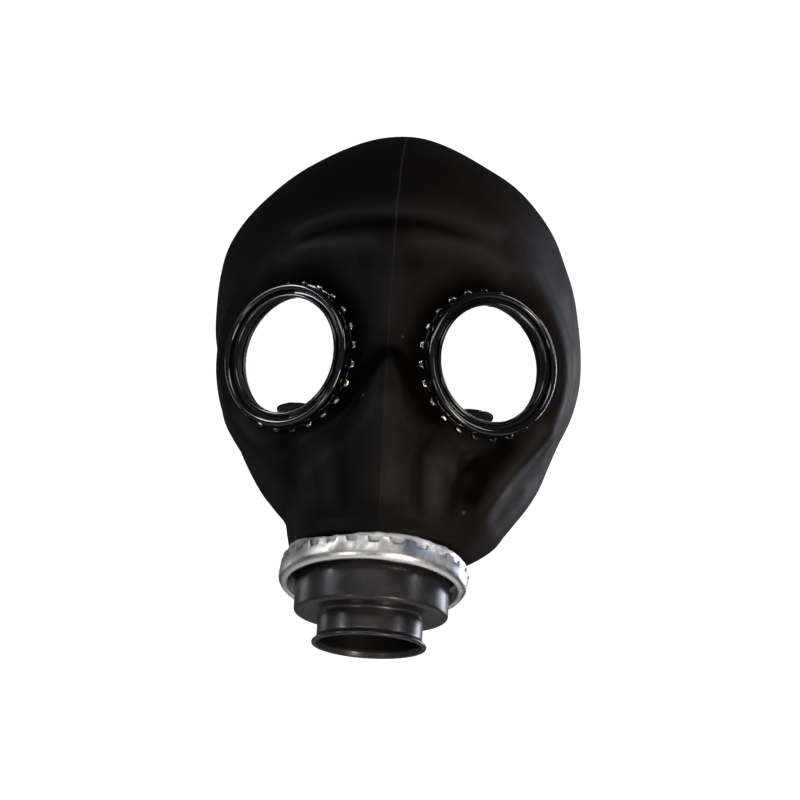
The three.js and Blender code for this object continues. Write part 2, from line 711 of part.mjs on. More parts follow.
const finishes = {
  rubber: { color: 0x14110f, roughness: 0.5, metalness: 0 },
  lacquer: { color: 0x0b0b0d, roughness: 0.15, metalness: 0.3 },
  box: { color: 0x1b1b1d, roughness: 0.28, metalness: 0.2 },
  aluminium: { color: 0xb9b9b8, roughness: 0.35, metalness: 1 },
  glass: { color: 0xf2f6f5, roughness: 0.05, metalness: 0, transparent: true, opacity: 0.3 },
};

function piece(name, geometry, finish) {
  const mesh = new THREE.Mesh(closedGeometry(geometry), new THREE.MeshStandardMaterial(finishes[finish]));
  mesh.name = name;
  return mesh;
}

const mask = new THREE.Group();
mask.add(piece('face_hood', rubberHood(), 'rubber'));

for (const eye of eyes) {
  const sideName = eye.side < 0 ? 'left' : 'right';
  const eyepiece = new THREE.Group();
  eyepiece.applyMatrix4(eye.matrix);
  eyepiece.add(
    piece(`eye_rim_${sideName}`, rimGeometry(), 'lacquer'),
    piece(`eye_glass_${sideName}`, glassGeometry(), 'glass'),
    piece(`glass_retainer_${sideName}`, retainerGeometry(), 'lacquer'),
    piece(`tooth_ring_${sideName}`, toothRingGeometry(), 'lacquer'),
    piece(`backing_ring_${sideName}`, backingGeometry(), 'lacquer'),
  );
  mask.add(eyepiece, piece(`air_duct_${sideName}`, airDuctGeometry(eye), 'rubber'));
}

const valve = new THREE.Group();
valve.applyMatrix4(frameAlong(valveTop, valveAxis));
const clamp = new THREE.Group();
clamp.position.set(0, 0, -bandHeight / 2);
clamp.rotation.x = -bandTilt;
clamp.add(piece('clamp_band', clampBandGeometry().translate(0, 0, bandHeight / 2), 'aluminium'));
valve.add(
  piece('valve_box', valveBoxGeometry(), 'box'),
  piece('inlet_flap', inletFlapGeometry(), 'rubber'),
  piece('clamp_collar', clampCollarGeometry(), 'aluminium'),
  clamp,
);
mask.add(valve);

export default mask;
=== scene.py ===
import math

import bmesh
import bpy
import numpy as np
from mathutils import Matrix, Vector, noise


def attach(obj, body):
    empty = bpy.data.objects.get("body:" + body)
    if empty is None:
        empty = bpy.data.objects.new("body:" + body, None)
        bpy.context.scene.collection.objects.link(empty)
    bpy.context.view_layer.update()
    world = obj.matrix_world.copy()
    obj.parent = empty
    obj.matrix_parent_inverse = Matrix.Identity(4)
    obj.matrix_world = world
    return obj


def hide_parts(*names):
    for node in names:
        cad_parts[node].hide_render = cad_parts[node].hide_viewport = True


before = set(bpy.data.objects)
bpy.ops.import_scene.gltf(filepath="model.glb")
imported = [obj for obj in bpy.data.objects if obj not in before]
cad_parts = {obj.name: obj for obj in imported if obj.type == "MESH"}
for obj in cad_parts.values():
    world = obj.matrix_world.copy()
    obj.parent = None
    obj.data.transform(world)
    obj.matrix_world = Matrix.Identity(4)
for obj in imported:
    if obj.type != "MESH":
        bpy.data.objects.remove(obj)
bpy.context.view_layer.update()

mm = 0.001
# the CAD's clearances and the frame: X right, -Y to the front, Z up, origin between the ears
fit = 0.3


# small helpers
def colour(code):
    # sRGB hex to the linear values the shaders want
    parts = [int(code[i:i + 2], 16) / 255 for i in (1, 3, 5)]
    return [c / 12.92 if c < 0.04045 else ((c + 0.055) / 1.055) ** 2.4 for c in parts] + [1.0]


def smoothstep(value, low, high):
    t = np.clip((value - low) / (high - low), 0, 1)
    return t * t * (3 - 2 * t)


def linkMesh(name, mesh, material, sharpAngle=35):
    thing = bpy.data.objects.new(name, mesh)
    bpy.context.scene.collection.objects.link(thing)
    mesh.materials.append(material)
    mesh.shade_smooth()
    mesh.set_sharp_from_angle(angle=math.radians(sharpAngle))
    return thing


def finishBmesh(name, bm, material, matrix=Matrix.Identity(4), sharpAngle=35):
    # lengths in mm until here
    bmesh.ops.recalc_face_normals(bm, faces=bm.faces)
    bmesh.ops.transform(bm, matrix=Matrix.Scale(mm, 4) @ matrix, verts=bm.verts)
    mesh = bpy.data.meshes.new(name)
    bm.to_mesh(mesh)
    bm.free()
    return linkMesh(name, mesh, material, sharpAngle)


def rounded(corners, steps=4):
    # corners are (radius, along, fillet); each corner is cut by an arc of that fillet
    points = []
    count = len(corners)
    for i, (r, z, fillet) in enumerate(corners):
        here = Vector((r, z))
        if fillet == 0:
            points.append(here)
            continue
        before = (Vector(corners[i - 1][:2]) - here)
        after = (Vector(corners[(i + 1) % count][:2]) - here)
        reach = min(fillet, before.length * 0.48, after.length * 0.48)
        start = here + before.normalized() * reach
        end = here + after.normalized() * reach
        for k in range(steps + 1):
            t = k / steps
            points.append((1 - t) ** 2 * start + 2 * t * (1 - t) * here + t * t * end)
    return points


def turned(name, corners, material, matrix, sides=128, steps=4, sharpAngle=35):
    # a closed profile spun round the local Z axis
    bm = bmesh.new()
    verts = [bm.verts.new((p.x, 0, p.y)) for p in rounded(corners, steps)]
    for a, b in zip(verts, verts[1:] + verts[:1]):
        bm.edges.new((a, b))
    bmesh.ops.spin(bm, geom=bm.verts[:] + bm.edges[:], axis=(0, 0, 1), cent=(0, 0, 0),
                   angle=2 * math.pi, steps=sides, use_merge=True)
    bmesh.ops.remove_doubles(bm, verts=bm.verts, dist=1e-4)
    return finishBmesh(name, bm, material, matrix, sharpAngle)


def gridMesh(points, closedAcross=False, closedAlong=False):
    # points is an array of rows by columns by xyz, in mm
    rows, columns, _ = points.shape
    bm = bmesh.new()
    verts = [[bm.verts.new(points[i, j]) for j in range(columns)] for i in range(rows)]
    for i in range(rows if closedAlong else rows - 1):
        for j in range(columns if closedAcross else columns - 1):
            a, b = verts[i], verts[(i + 1) % rows]
            k = (j + 1) % columns
            bm.faces.new((a[j], a[k], b[k], b[j]))
    return bm


def paintFaces(thing, material, matrix, wanted):
    # wanted(radius, height, spot) in mm: the first two in the piece's own frame
    thing.data.materials.append(material)
    toLocal = matrix.inverted()
    for face in thing.data.polygons:
        spot = face.center / mm
        local = toLocal @ spot
        if wanted(math.hypot(local.x, local.y), local.z, spot):
            face.material_index = 1


def frameAlong(point, direction, spin=0.0):
    turn = Vector((0, 0, 1)).rotation_difference(Vector(direction))
    return Matrix.Translation(point) @ turn.to_matrix().to_4x4() @ Matrix.Rotation(spin, 4, 'Z')


# materials
def newMaterial(name):
    material = bpy.data.materials.new(name)
    material.use_nodes = True
    tree = material.node_tree
    shader = tree.nodes["Principled BSDF"]
    return material, tree, shader


def feed(tree, node, inputs):
    # links a socket and types in anything else
    for key, value in inputs.items():
        if isinstance(value, bpy.types.NodeSocket):
            tree.links.new(value, node.inputs[key])
        else:
            node.inputs[key].default_value = value


def addNode(tree, kind, inputs=None, **settings):
    node = tree.nodes.new(kind)
    for key, value in settings.items():
        setattr(node, key, value)
    feed(tree, node, inputs or {})
    return node


def objectPlace(tree):
    return addNode(tree, "ShaderNodeTexCoord").outputs["Object"]


def noiseAt(tree, place, size, detail=3.0, roughness=0.5, distortion=0.0):
    # size is the mean width of a patch in metres
    node = addNode(tree, "ShaderNodeTexNoise", {
        "Vector": place, "Scale": 1 / size, "Detail": detail, "Roughness": roughness,
        "Distortion": distortion})
    return node.outputs["Fac"]


def remap(tree, value, fromLow, fromHigh, toLow, toHigh, kind="SMOOTHSTEP"):
    node = addNode(tree, "ShaderNodeMapRange", {
        "Value": value, "From Min": fromLow, "From Max": fromHigh, "To Min": toLow,
        "To Max": toHigh}, interpolation_type=kind)
    return node.outputs["Result"]


def mixColour(tree, factor, first, second):
    # a colour mix has its factor, first and second colour at inputs 0, 6 and 7
    return addNode(tree, "ShaderNodeMix", {0: factor, 6: first, 7: second}, data_type="RGBA").outputs[2]


def calc(tree, operation, first, second=0.0):
    node = addNode(tree, "ShaderNodeMath", {0: first, 1: second}, operation=operation)
    return node.outputs[0]


def bumpFrom(tree, height, distance, strength=1.0, normal=None):
    inputs = {"Height": height, "Distance": distance, "Strength": strength}
    if normal is not None:
        inputs["Normal"] = normal
    return addNode(tree, "ShaderNodeBump", inputs).outputs["Normal"]


def patchMask(tree, place, centre, radius, wobble, wobbleSize):
    # soft blot round a point, with an uneven edge
    away = addNode(tree, "ShaderNodeVectorMath", {0: place, 1: centre}, operation="DISTANCE")
    rough = noiseAt(tree, place, wobbleSize)
    edge = calc(tree, "MULTIPLY", calc(tree, "SUBTRACT", rough, 0.5), wobble)
    return remap(tree, calc(tree, "ADD", away.outputs["Value"], edge), radius * 0.4, radius, 1.0, 0.0)


def mouldedRubber():
    # black natural rubber from a mould: satin, fine grain, a thin parting line, dust and mottled brown bloom,
    # with painted light that makes the right side warmer and lighter than the left
    material, tree, shader = newMaterial("moulded black rubber")
    place = objectPlace(tree)
    sides = addNode(tree, "ShaderNodeSeparateXYZ", {0: place})
    blotch = noiseAt(tree, place, 0.035, 4.0, 0.6)
    # painted light: lighter and warmer towards the right, with a step at the seam below the nose
    paintedSideLight = remap(tree, sides.outputs["X"], -0.03, 0.06, 0.0, 1.0)
    rightOfSeamLight = remap(tree, sides.outputs["X"], -0.0002, 0.0012, -0.35, 0.4)
    belowNose = remap(tree, sides.outputs["Z"], -0.012, 0.004, 1.0, 0.0)
    paintedSideLight = calc(tree, "ADD", paintedSideLight, calc(tree, "MULTIPLY", rightOfSeamLight, belowNose))
    paintedSideLight = remap(tree, paintedSideLight, 0.0, 1.0, 0.0, 1.0)
    bloomAndSideLight = calc(tree, "MULTIPLY", paintedSideLight, remap(tree, blotch, 0.3, 0.7, 0.4, 1.0))
    # relief is 1 on the crest of a roll, -1 in a crease and in the shade beside the rims: crests get a
    # painted highlight, creases and rim surrounds a painted shade
    relief = addNode(tree, "ShaderNodeAttribute", attribute_name="relief").outputs["Fac"]
    crest = remap(tree, relief, 0.0, 1.0, 0.0, 0.8)
    crease = remap(tree, relief, -1.0, 0.0, 1.0, 0.0)
    plain = mixColour(tree, bloomAndSideLight, colour("#070606"), colour("#1a130e"))
    crestLitColour = mixColour(tree, bloomAndSideLight, colour("#0d0b0c"), colour("#281f17"))
    # painted highlight: the crests take the lighter colours
    base = mixColour(tree, crest, plain, crestLitColour)
    dust = calc(tree, "MULTIPLY", remap(tree, noiseAt(tree, place, 0.0016, 2.0, 0.7), 0.6, 0.8, 0.0, 1.0),
                remap(tree, noiseAt(tree, place, 0.022, 2.0), 0.48, 0.7, 0.0, 0.4))
    base = mixColour(tree, dust, base, colour("#2a231e"))
    # where two halves of the mould met
    across = calc(tree, "ABSOLUTE", calc(tree, "SUBTRACT", sides.outputs["X"], 0.0003))
    parting = calc(tree, "MULTIPLY", remap(tree, across, 0.0002, 0.0007, 1.0, 0.0),
                   remap(tree, sides.outputs["Z"], -0.078, -0.07, 0.0, 1.0))
    upper = remap(tree, sides.outputs["Z"], 0.04, 0.07, 0.1, 0.32)
    base = mixColour(tree, calc(tree, "MULTIPLY", parting, upper), base, colour("#453c36"))
    # painted shade: creases and the skin beside the rims turn near black
    base = mixColour(tree, calc(tree, "MULTIPLY", crease, 0.7), base, colour("#030303"))
    # painted highlights: three pale spots of colour where small moulded pips and knocks would catch the
    # light, with no raised shape
    pipGlints = [
        ((0.0063, -0.0988, 0.0072), 0.0011),
        ((-0.0097, -0.0991, -0.0198), 0.001),
        ((0.0369, -0.0853, -0.0687), 0.0014),
    ]
    for centre, radius in pipGlints:
        base = mixColour(tree, patchMask(tree, place, centre, radius, 0.0006, 0.001), base, colour("#45403b"))
    wear = noiseAt(tree, place, 0.012, 5.0, 0.65)
    roughness = calc(tree, "ADD", remap(tree, wear, 0.3, 0.75, 0.5, 0.66), calc(tree, "MULTIPLY", dust, 0.2))
    grain = bumpFrom(tree, noiseAt(tree, place, 0.0006, 2.0, 0.6), 0.00003, 0.5)
    orange = bumpFrom(tree, noiseAt(tree, place, 0.004, 3.0, 0.55), 0.00008, 0.5, grain)
    stretch = addNode(tree, "ShaderNodeMapping", {0: place, "Scale": (1.0, 1.0, 0.12)})
    drawn = bumpFrom(tree, noiseAt(tree, stretch.outputs[0], 0.003, 4.0, 0.6), 0.00014, 0.45, orange)
    raised = bumpFrom(tree, parting, 0.0003, 0.9, drawn)
    # the dull skin gives back little of the light that a clean surface would
    gloss = remap(tree, relief, -1.0, 1.0, 0.0, 0.15, "LINEAR")
    feed(tree, shader, {"Base Color": base, "Roughness": roughness, "IOR": 1.52,
                        "Specular IOR Level": gloss, "Normal": raised})
    return material


def softRubber():
    # dip-moulded black rubber of the small parts: smoother and darker than the hood
    material, tree, shader = newMaterial("dip-moulded rubber")
    place = objectPlace(tree)
    rough = remap(tree, noiseAt(tree, place, 0.006, 3.0), 0.3, 0.7, 0.4, 0.55)
    feed(tree, shader, {
        "Base Color": colour("#060606"), "Specular IOR Level": 0.06, "Roughness": rough, "IOR": 1.52,
        "Normal": bumpFrom(tree, noiseAt(tree, place, 0.0008), 0.00003, 0.5),
    })
    return material


def stoveLacquer(name, base, brown, roughLow, roughHigh, coat, shine):
    # stoved black lacquer on pressed steel: gloss, orange peel, wiped smears that turn it brown
    material, tree, shader = newMaterial(name)
    place = objectPlace(tree)
    smear = noiseAt(tree, place, 0.011, 4.0, 0.6, 0.4)
    peel = bumpFrom(tree, noiseAt(tree, place, 0.0022, 2.0), 0.00003, 0.35)
    drawn = {0: place, "Scale": (1.0, 1.0, 0.08), "Rotation": (0.3, 0.2, 0.0)}
    scratch = noiseAt(tree, addNode(tree, "ShaderNodeMapping", drawn).outputs[0], 0.0007, 2.0)
    fine = bumpFrom(tree, remap(tree, scratch, 0.55, 0.8, 0.0, 1.0), 0.00001, 0.3, peel)
    feed(tree, shader, {
        "Base Color": mixColour(tree, remap(tree, smear, 0.45, 0.75, 0.0, 1.0), colour(base), colour(brown)),
        "Roughness": remap(tree, smear, 0.35, 0.7, roughLow, roughHigh), "IOR": 1.55,
        "Specular IOR Level": shine, "Coat Weight": coat, "Coat Roughness": 0.05, "Normal": fine,
    })
    return material


def glintTeeth():
    # steel for the tips of the teeth beside the nose, with some tarnish: a painted glint for the light the
    # black lacquered teeth catch there, beside the black rim
    material, tree, shader = newMaterial("steel teeth worn bright")
    place = objectPlace(tree)
    tarnish = remap(tree, noiseAt(tree, place, 0.004, 4.0, 0.6), 0.45, 0.72, 0.0, 1.0)
    worn = mixColour(tree, tarnish, colour("#a5a099"), colour("#4f4a45"))
    feed(tree, shader, {
        "Base Color": worn, "Metallic": 1.0, "Roughness": remap(tree, tarnish, 0.0, 1.0, 0.18, 0.4),
        "Normal": bumpFrom(tree, noiseAt(tree, place, 0.0015), 0.00005, 0.5),
    })
    return material


def shadedEnamel():
    # dull black enamel inside the eyepieces, which kills stray light round the glass
    material, tree, shader = newMaterial("dull black enamel")
    place = objectPlace(tree)
    rough = remap(tree, noiseAt(tree, place, 0.005, 3.0), 0.3, 0.7, 0.5, 0.62)
    feed(tree, shader, {
        "Base Color": colour("#040404"), "IOR": 1.5, "Specular IOR Level": 0.2, "Roughness": rough,
        "Normal": bumpFrom(tree, noiseAt(tree, place, 0.0007), 0.00003, 0.5),
    })
    return material


def rolledAluminium():
    # soft aluminium strip rolled by hand: grey oxide on the wall, foil-bright flange, polished lip,
    # darker pressed crimps, blue and brown stains
    material, tree, shader = newMaterial("hand-rolled aluminium")
    place = objectPlace(tree)
    flange = addNode(tree, "ShaderNodeAttribute", attribute_name="flange").outputs["Fac"]
    lip = addNode(tree, "ShaderNodeAttribute", attribute_name="lip").outputs["Fac"]
    crimp = addNode(tree, "ShaderNodeAttribute", attribute_name="crimp").outputs["Fac"]
    oxide = noiseAt(tree, place, 0.009, 5.0, 0.62, 0.5)
    base = mixColour(tree, remap(tree, oxide, 0.4, 0.66, 0.0, 1.0), colour("#dad8d4"), colour("#aeb0ac"))
    base = mixColour(tree, calc(tree, "MULTIPLY", crimp, 0.55), base, colour("#8c8d8f"))
    base = mixColour(tree, calc(tree, "MULTIPLY", flange, 0.8), base, colour("#eceae6"))
    blots = [
        ((0.0165, -0.0985, -0.0865), 0.0075, "#59616f", 0.8),
        ((0.023, -0.094, -0.091), 0.006, "#66718e", 0.6),
        ((-0.0165, -0.1005, -0.0885), 0.005, "#75604f", 0.6),
        ((-0.034, -0.086, -0.087), 0.008, "#8c948f", 0.3),
        ((0.034, -0.080, -0.094), 0.007, "#737c8c", 0.5),
    ]
    for centre, radius, stain, strength in blots:
        mask = calc(tree, "MULTIPLY", patchMask(tree, place, centre, radius, 0.006, 0.004), strength)
        base = mixColour(tree, mask, base, colour(stain))
    base = mixColour(tree, lip, base, colour("#f4f3f0"))
    dull = remap(tree, oxide, 0.35, 0.7, 0.36, 0.55)
    rough = calc(tree, "SUBTRACT", dull, calc(tree, "MULTIPLY", lip, 0.22))
    dents = bumpFrom(tree, noiseAt(tree, place, 0.006, 3.0), 0.0003, 0.3)
    creased = bumpFrom(tree, noiseAt(tree, place, 0.0022, 4.0, 0.6, 0.8), 0.00025,
                       calc(tree, "MULTIPLY", flange, 0.6), dents)
    fine = bumpFrom(tree, noiseAt(tree, place, 0.0007, 2.0, 0.6), 0.00003, 0.4, creased)
    feed(tree, shader, {"Base Color": base, "Metallic": 1.0, "Roughness": rough, "Normal": fine})
    return material


def clearGlass():
    # discs cut from sheet glass, clear and wiped, with a few duller patches
    material, tree, shader = newMaterial("cut sheet glass")
    place = objectPlace(tree)
    rough = remap(tree, noiseAt(tree, place, 0.008, 4.0), 0.55, 0.8, 0.0, 0.05)
    feed(tree, shader, {
        "Base Color": colour("#fbfdfc"), "Transmission Weight": 1.0, "Specular IOR Level": 0.2,
        "IOR": 1.52, "Roughness": rough,
    })
    return material


rubber = mouldedRubber()
rubberSmall = softRubber()
rimLacquer = stoveLacquer("stoved lacquer, rims", "#050506", "#0a0808", 0.1, 0.17, 1.0, 0.2)
boxLacquer = stoveLacquer("stoved lacquer, valve box", "#191617", "#201917", 0.28, 0.4, 0.12, 0.5)
innerEnamel = shadedEnamel()
teethGlintMetal = glintTeeth()
clampMetal = rolledAluminium()
glass = clearGlass()
print("materials done")


# the head's surface, from the same sections as the CAD
hood = dict(halfWidth=89, crownHeight=125.5, noseReach=105, rearReach=95, wall=2.0, beadWall=1.0,
            beadWidth=6.0, foldStart=20, foldFull=50, tubeFade=14, columns=220, lowRows=6,
            faceRows=126, crownRows=30, crownFrom=0.62, even=0.42, crowded=0.58, holeMargin=0.6)
eye = dict(halfSpacing=48, forward=84, turn=math.radians(29.5), rim=33.0, beadDepth=5.4, depth=13.0,
           sleeve=31.4, pocket=29.7, sight=27.7, ledge=9.2, glass=1.5, toothThick=1.2, backing=3.6,
           backingThick=1.4, retainerWidth=1.7, retainerThick=1.3)
# past the teeth the skin lies flat as far as padFull and is free from padEnd, folds begin at
# foldsFrom and are whole at foldsFull, and what lies more than rear behind is not near the eye
eye.update(padFull=3, padEnd=24, foldsFrom=1, foldsFull=8, rear=40)
eye["toothRadius"] = eye["sleeve"] + fit + eye["backing"]
eye["toothFront"] = eye["beadDepth"] + fit
eye["seat"] = eye["toothFront"] + eye["toothThick"] + fit
valve = dict(forward=61.005, drop=102.7, aside=3.1, tilt=math.radians(8.5), drum=35.0, tubeEnd=5.48,
             tubeLength=15.5)
valveAxis = Vector((0, -math.sin(valve["tilt"]), -math.cos(valve["tilt"])))
valveTop = Vector((-valve["aside"], -valve["forward"], -valve["drop"]))
tubeRadius = valve["drum"] + fit + hood["wall"]

# height, shift, lean, left, right, front, rear
headSections = [
    (-0.836, -0.557, 1.0, 0.470, 0.466, 0.388, 0.42),
    (-0.783, -0.500, 1.0, 0.490, 0.565, 0.430, 0.42),
    (-0.705, -0.455, 1.0, 0.515, 0.632, 0.508, 0.48),
    (-0.636, -0.410, 1.0, 0.578, 0.685, 0.574, 0.54),
    (-0.558, -0.340, 1.0, 0.658, 0.742, 0.660, 0.62),
    (-0.460, -0.250, 0.9, 0.735, 0.798, 0.757, 0.71),
    (-0.352, -0.170, 0.6, 0.805, 0.842, 0.833, 0.81),
    (-0.235, -0.095, 0.4, 0.868, 0.890, 0.894, 0.90),
    (-0.098, -0.028, 0.2, 0.917, 0.955, 0.930, 0.96),
    (0.040, 0.000, 0.0, 0.956, 0.992, 0.927, 0.99),
    (0.160, 0.000, 0.0, 0.994, 0.993, 0.922, 1.00),
    (0.280, 0.000, 0.0, 1.000, 0.973, 0.914, 1.00),
    (0.400, 0.000, 0.0, 0.990, 0.940, 0.890, 0.98),
    (0.500, 0.000, 0.0, 0.961, 0.891, 0.843, 0.95),
    (0.605, 0.000, 0.0, 0.884, 0.830, 0.770, 0.89),
    (0.700, 0.000, 0.0, 0.774, 0.741, 0.680, 0.80),
    (0.785, 0.005, 0.0, 0.650, 0.628, 0.590, 0.69),
    (0.855, 0.020, 0.0, 0.520, 0.482, 0.488, 0.56),
    (0.912, 0.038, 0.0, 0.395, 0.353, 0.390, 0.43),
    (0.956, 0.057, 0.0, 0.283, 0.236, 0.286, 0.31),
    (0.984, 0.067, 0.0, 0.165, 0.135, 0.171, 0.19),
    (1.000, 0.076, 0.0, 0.000, 0.000, 0.000, 0.00),
]
# height, back
freeEdge = [
    (-1.30, -0.13), (-0.93, -0.13), (-0.80, -0.07), (-0.68, 0.01), (-0.50, 0.09), (-0.30, 0.15),
    (0.00, 0.20), (0.25, 0.23), (0.45, 0.28), (0.65, 0.36), (0.80, 0.43), (0.95, 0.52), (1.20, 0.60),
]
# folds read off the photo: points (x, z) in mm, lift in mm, half width in mm
folds = [
    ("forehead roll", [(-52, 58), (-24, 67), (0, 71), (24, 70), (50, 61)], 1.6, 6.0),
    ("brow crease", [(-46, 54), (-34, 59), (-20, 62), (0, 63), (12, 63), (24, 61), (35, 57.5)], -2.2, 3.0),
    ("brow roll left", [(-56, 38), (-41, 48), (-22, 52), (-4, 52)], 2.1, 6.5),
    ("brow roll right", [(4, 53), (28, 54), (44, 48), (57, 38)], 2.1, 6.5),
    ("hollow left", [(-17, 41), (-11, 42.6), (-7, 42)], -1.1, 4.4),
    ("hollow right", [(5, 44), (9, 44), (15, 42)], -1.1, 4.4),
    ("nose strip", [(1, 42), (2, 26), (3.5, 5)], 1.0, 7.0),
    ("nose crease", [(-24, -28), (-15.2, -16.1), (-10.8, -11.8), (-6.5, -6.2), (-2.5, -1.5), (1.5, 0.6),
                     (5.5, -2.5), (11.5, -12.4), (15, -19.5), (21, -26), (30, -31)], -2.3, 3.0),
    ("nose ridge", [(0.5, -14), (0.5, -40), (0, -72)], 1.6, 8.0),
    ("groove left", [(-20, -32), (-19, -50), (-17, -72)], -1.0, 3.4),
    ("channel left", [(-36, -33), (-28, -48), (-25, -73)], 1.8, 7.0),
    ("channel right", [(38, -34), (28, -45), (24.5, -58), (24, -74)], 2.2, 7.0),
    ("channel right, inner edge", [(24.1, -32.6), (19, -41), (16.6, -49), (16.4, -73)], -1.4, 2.4),
    ("channel right, outer edge", [(46, -39), (37.5, -48.8), (34, -55), (33, -62), (32.5, -74)], -1.8, 2.8),
    ("dark hollow right", [(60, -30), (50, -42), (43, -56), (40, -70)], -2.4, 6.0),
    ("dark hollow left", [(-52, -36), (-44, -50), (-40, -66)], -1.4, 6.0),
    ("flap ridge", [(74, -21), (62, -41), (51, -59), (43, -72)], 1.7, 3.0),
    ("flap groove", [(78, -27), (67, -46), (57, -62), (50, -73)], -1.1, 2.6),
    ("jaw roll left", [(-72, -21), (-57, -45), (-43, -68)], 1.4, 7.0),
]


def heightOf(share):
    return share * (hood["crownHeight"] if share > 0 else valve["drop"])


def valveRow(above):
    centre = valveTop - valveAxis * above
    return [*centre, valve["tilt"]] + [tubeRadius] * 4


def headRow(row):
    height, shift, lean, left, right, front, rear = row
    return [0.0, shift * hood["noseReach"], heightOf(height), lean * valve["tilt"],
            left * hood["halfWidth"], right * hood["halfWidth"], front * hood["noseReach"],
            rear * hood["rearReach"]]


loftRows = [valveRow(valve["tubeEnd"]), valveRow((valve["tubeEnd"] + valve["tubeLength"]) / 2),
            valveRow(valve["tubeLength"])] + [headRow(row) for row in headSections]
loftRows = np.array(loftRows)
steps = np.hypot(np.diff(loftRows[:, 2]), np.diff(loftRows[:, 6]))
stations = np.concatenate([[0], np.cumsum(steps)])
lastStation = stations[-1]
socketStation = stations[2]


def sectionAt(station):
    # cubic through the rows, the same one the CAD uses
    station = np.clip(station, 0, lastStation)
    i = np.clip(np.searchsorted(stations, station, side="right") - 1, 0, len(stations) - 2)
    before = np.where(i == 0, i + 1, i - 1)
    after = np.where(i == len(stations) - 2, i, i + 2)
    t0, t1 = stations[i], stations[i + 1]
    half = (t1 - t0) / 2
    wp = (half / (t0 - stations[before]))[..., None]
    wn = (half / (stations[after] - t1))[..., None]
    p = ((station - t0) / (t1 - t0))[..., None]
    return (loftRows[before] * (-wp * p**3 + 2 * wp * p**2 - wp * p)
            + loftRows[i] * ((1 + wp) * p**3 + (-1.5 - 2 * wp) * p**2 + (-0.5 + wp) * p + 1)
            + loftRows[i + 1] * ((-1 - wn) * p**3 + (1.5 + wn) * p**2 + 0.5 * p)
            + loftRows[after] * (wn * p**3 - wn * p**2))


def bareSkin(angle, station):
    middle, y, z, lean, left, right, front, rear = np.moveaxis(sectionAt(station), -1, 0)
    across, ahead = np.sin(angle), np.cos(angle)
    x = middle + across * np.where(across < 0, left, right)
    back = -ahead * np.where(ahead > 0, front, rear)
    return np.stack([x, y + back * np.cos(lean), z - back * np.sin(lean)], -1)


def normalOf(surface, angle, station):
    step = 0.02
    around = surface(angle + step, station) - surface(angle - step, station)
    above = surface(angle, np.minimum(station + step, lastStation))
    rising = above - surface(angle, np.maximum(station - step, 0))
    normal = np.cross(around, rising)
    length = np.linalg.norm(normal, axis=-1, keepdims=True)
    normal = np.where(length > 1e-9, normal / np.maximum(length, 1e-9), [0, 0, 1.0])
    return np.where((station > lastStation - 1)[..., None], [0, 0, 1.0], normal)


def curveThrough(points, count):
    # even Catmull-Rom samples through the points
    points = np.array(points, float)
    padded = np.vstack([points[:1], points, points[-1:]])
    t = np.linspace(0, len(points) - 1, count)
    i = np.minimum(t.astype(int), len(points) - 2)
    p = (t - i)[:, None]
    a, b, c, d = padded[i], padded[i + 1], padded[i + 2], padded[i + 3]
    return 0.5 * (2 * b + (c - a) * p + (2 * a - 5 * b + 4 * c - d) * p**2 + (3 * b - a - 3 * c + d) * p**3)


def distanceToLine(points, line):
    # how far each point is from the line, and how far along it the nearest spot lies
    nearest = np.full(points.shape[:-1], 1e9)
    reached = np.zeros(points.shape[:-1])
    run = 0.0
    for a, b in zip(line[:-1], line[1:]):
        along = b - a
        length = np.linalg.norm(along)
        share = np.clip(((points - a) @ along) / length ** 2, 0, 1)
        away = np.linalg.norm(points - a - share[..., None] * along, axis=-1)
        reached = np.where(away < nearest, run + share * length, reached)
        nearest = np.minimum(nearest, away)
        run += length
    return nearest, reached, run


foldLines = [(curveThrough(points, 6 * len(points)), lift, width) for _, points, lift, width in folds]
eyeFrames = []
for side in (-1, 1):
    outwards = np.array([side * math.sin(eye["turn"]), -math.cos(eye["turn"]), 0])
    centre = np.array([side * eye["halfSpacing"], -eye["forward"], 0.0])
    eyeFrames.append((side, outwards, centre))


def inEye(point, outwards, centre):
    away = point - centre
    ahead = away @ outwards
    radius = np.sqrt(np.maximum((away ** 2).sum(-1) - ahead ** 2, 0))
    return radius, ahead + eye["seat"]


# mm over which the end of a fold dies away, and the share of it that runs on past the end
foldFade = 9.0
foldRunOn = 0.3


def foldRise(point):
    seen = point[..., [0, 2]]
    rise = np.zeros(point.shape[:-1])
    for line, lift, width in foldLines:
        away, reached, run = distanceToLine(seen, line)
        fade = min(foldFade, run / 3)
        start = smoothstep(reached, -foldRunOn * fade, fade)
        ends = start * smoothstep(run - reached, -foldRunOn * fade, fade)
        rise += lift * ends * np.exp(-(away / width) ** 2)
    return rise * smoothstep(-point[..., 1], hood["foldStart"], hood["foldFull"])


def skin(angle, station):
    point = bareSkin(angle, station)
    pads = []
    for _, outwards, centre in eyeFrames:
        radius, _ = inEye(point, outwards, centre)
        near = 1 - smoothstep(radius, eye["toothRadius"] + eye["padFull"],
                              eye["toothRadius"] + eye["padEnd"])
        pads.append(near * smoothstep(-point[..., 1], 0, hood["foldStart"]))
    clear = smoothstep(station, socketStation, socketStation + hood["tubeFade"])
    bare = point
    for (_, outwards, centre), pad in zip(eyeFrames, pads):
        radius, ahead = inEye(point, outwards, centre)
        beyond = smoothstep(radius, eye["toothRadius"] + eye["foldsFrom"],
                            eye["toothRadius"] + eye["foldsFull"])
        clear = clear * np.where(ahead > -eye["rear"], beyond, 1)
        point = point - outwards * (ahead * pad)[..., None]
    rise = foldRise(bare) * clear
    return point + normalOf(bareSkin, angle, station) * rise[..., None]


# the shade beside the rims: stronger towards the nose and above, gone a width from the teeth
rimShade = dict(strength=1.1, everywhere=0.45, nose=0.35, above=0.35, least=0.1, width=9)
fullRise = 2.2  # mm of fold that counts as a full crest or crease


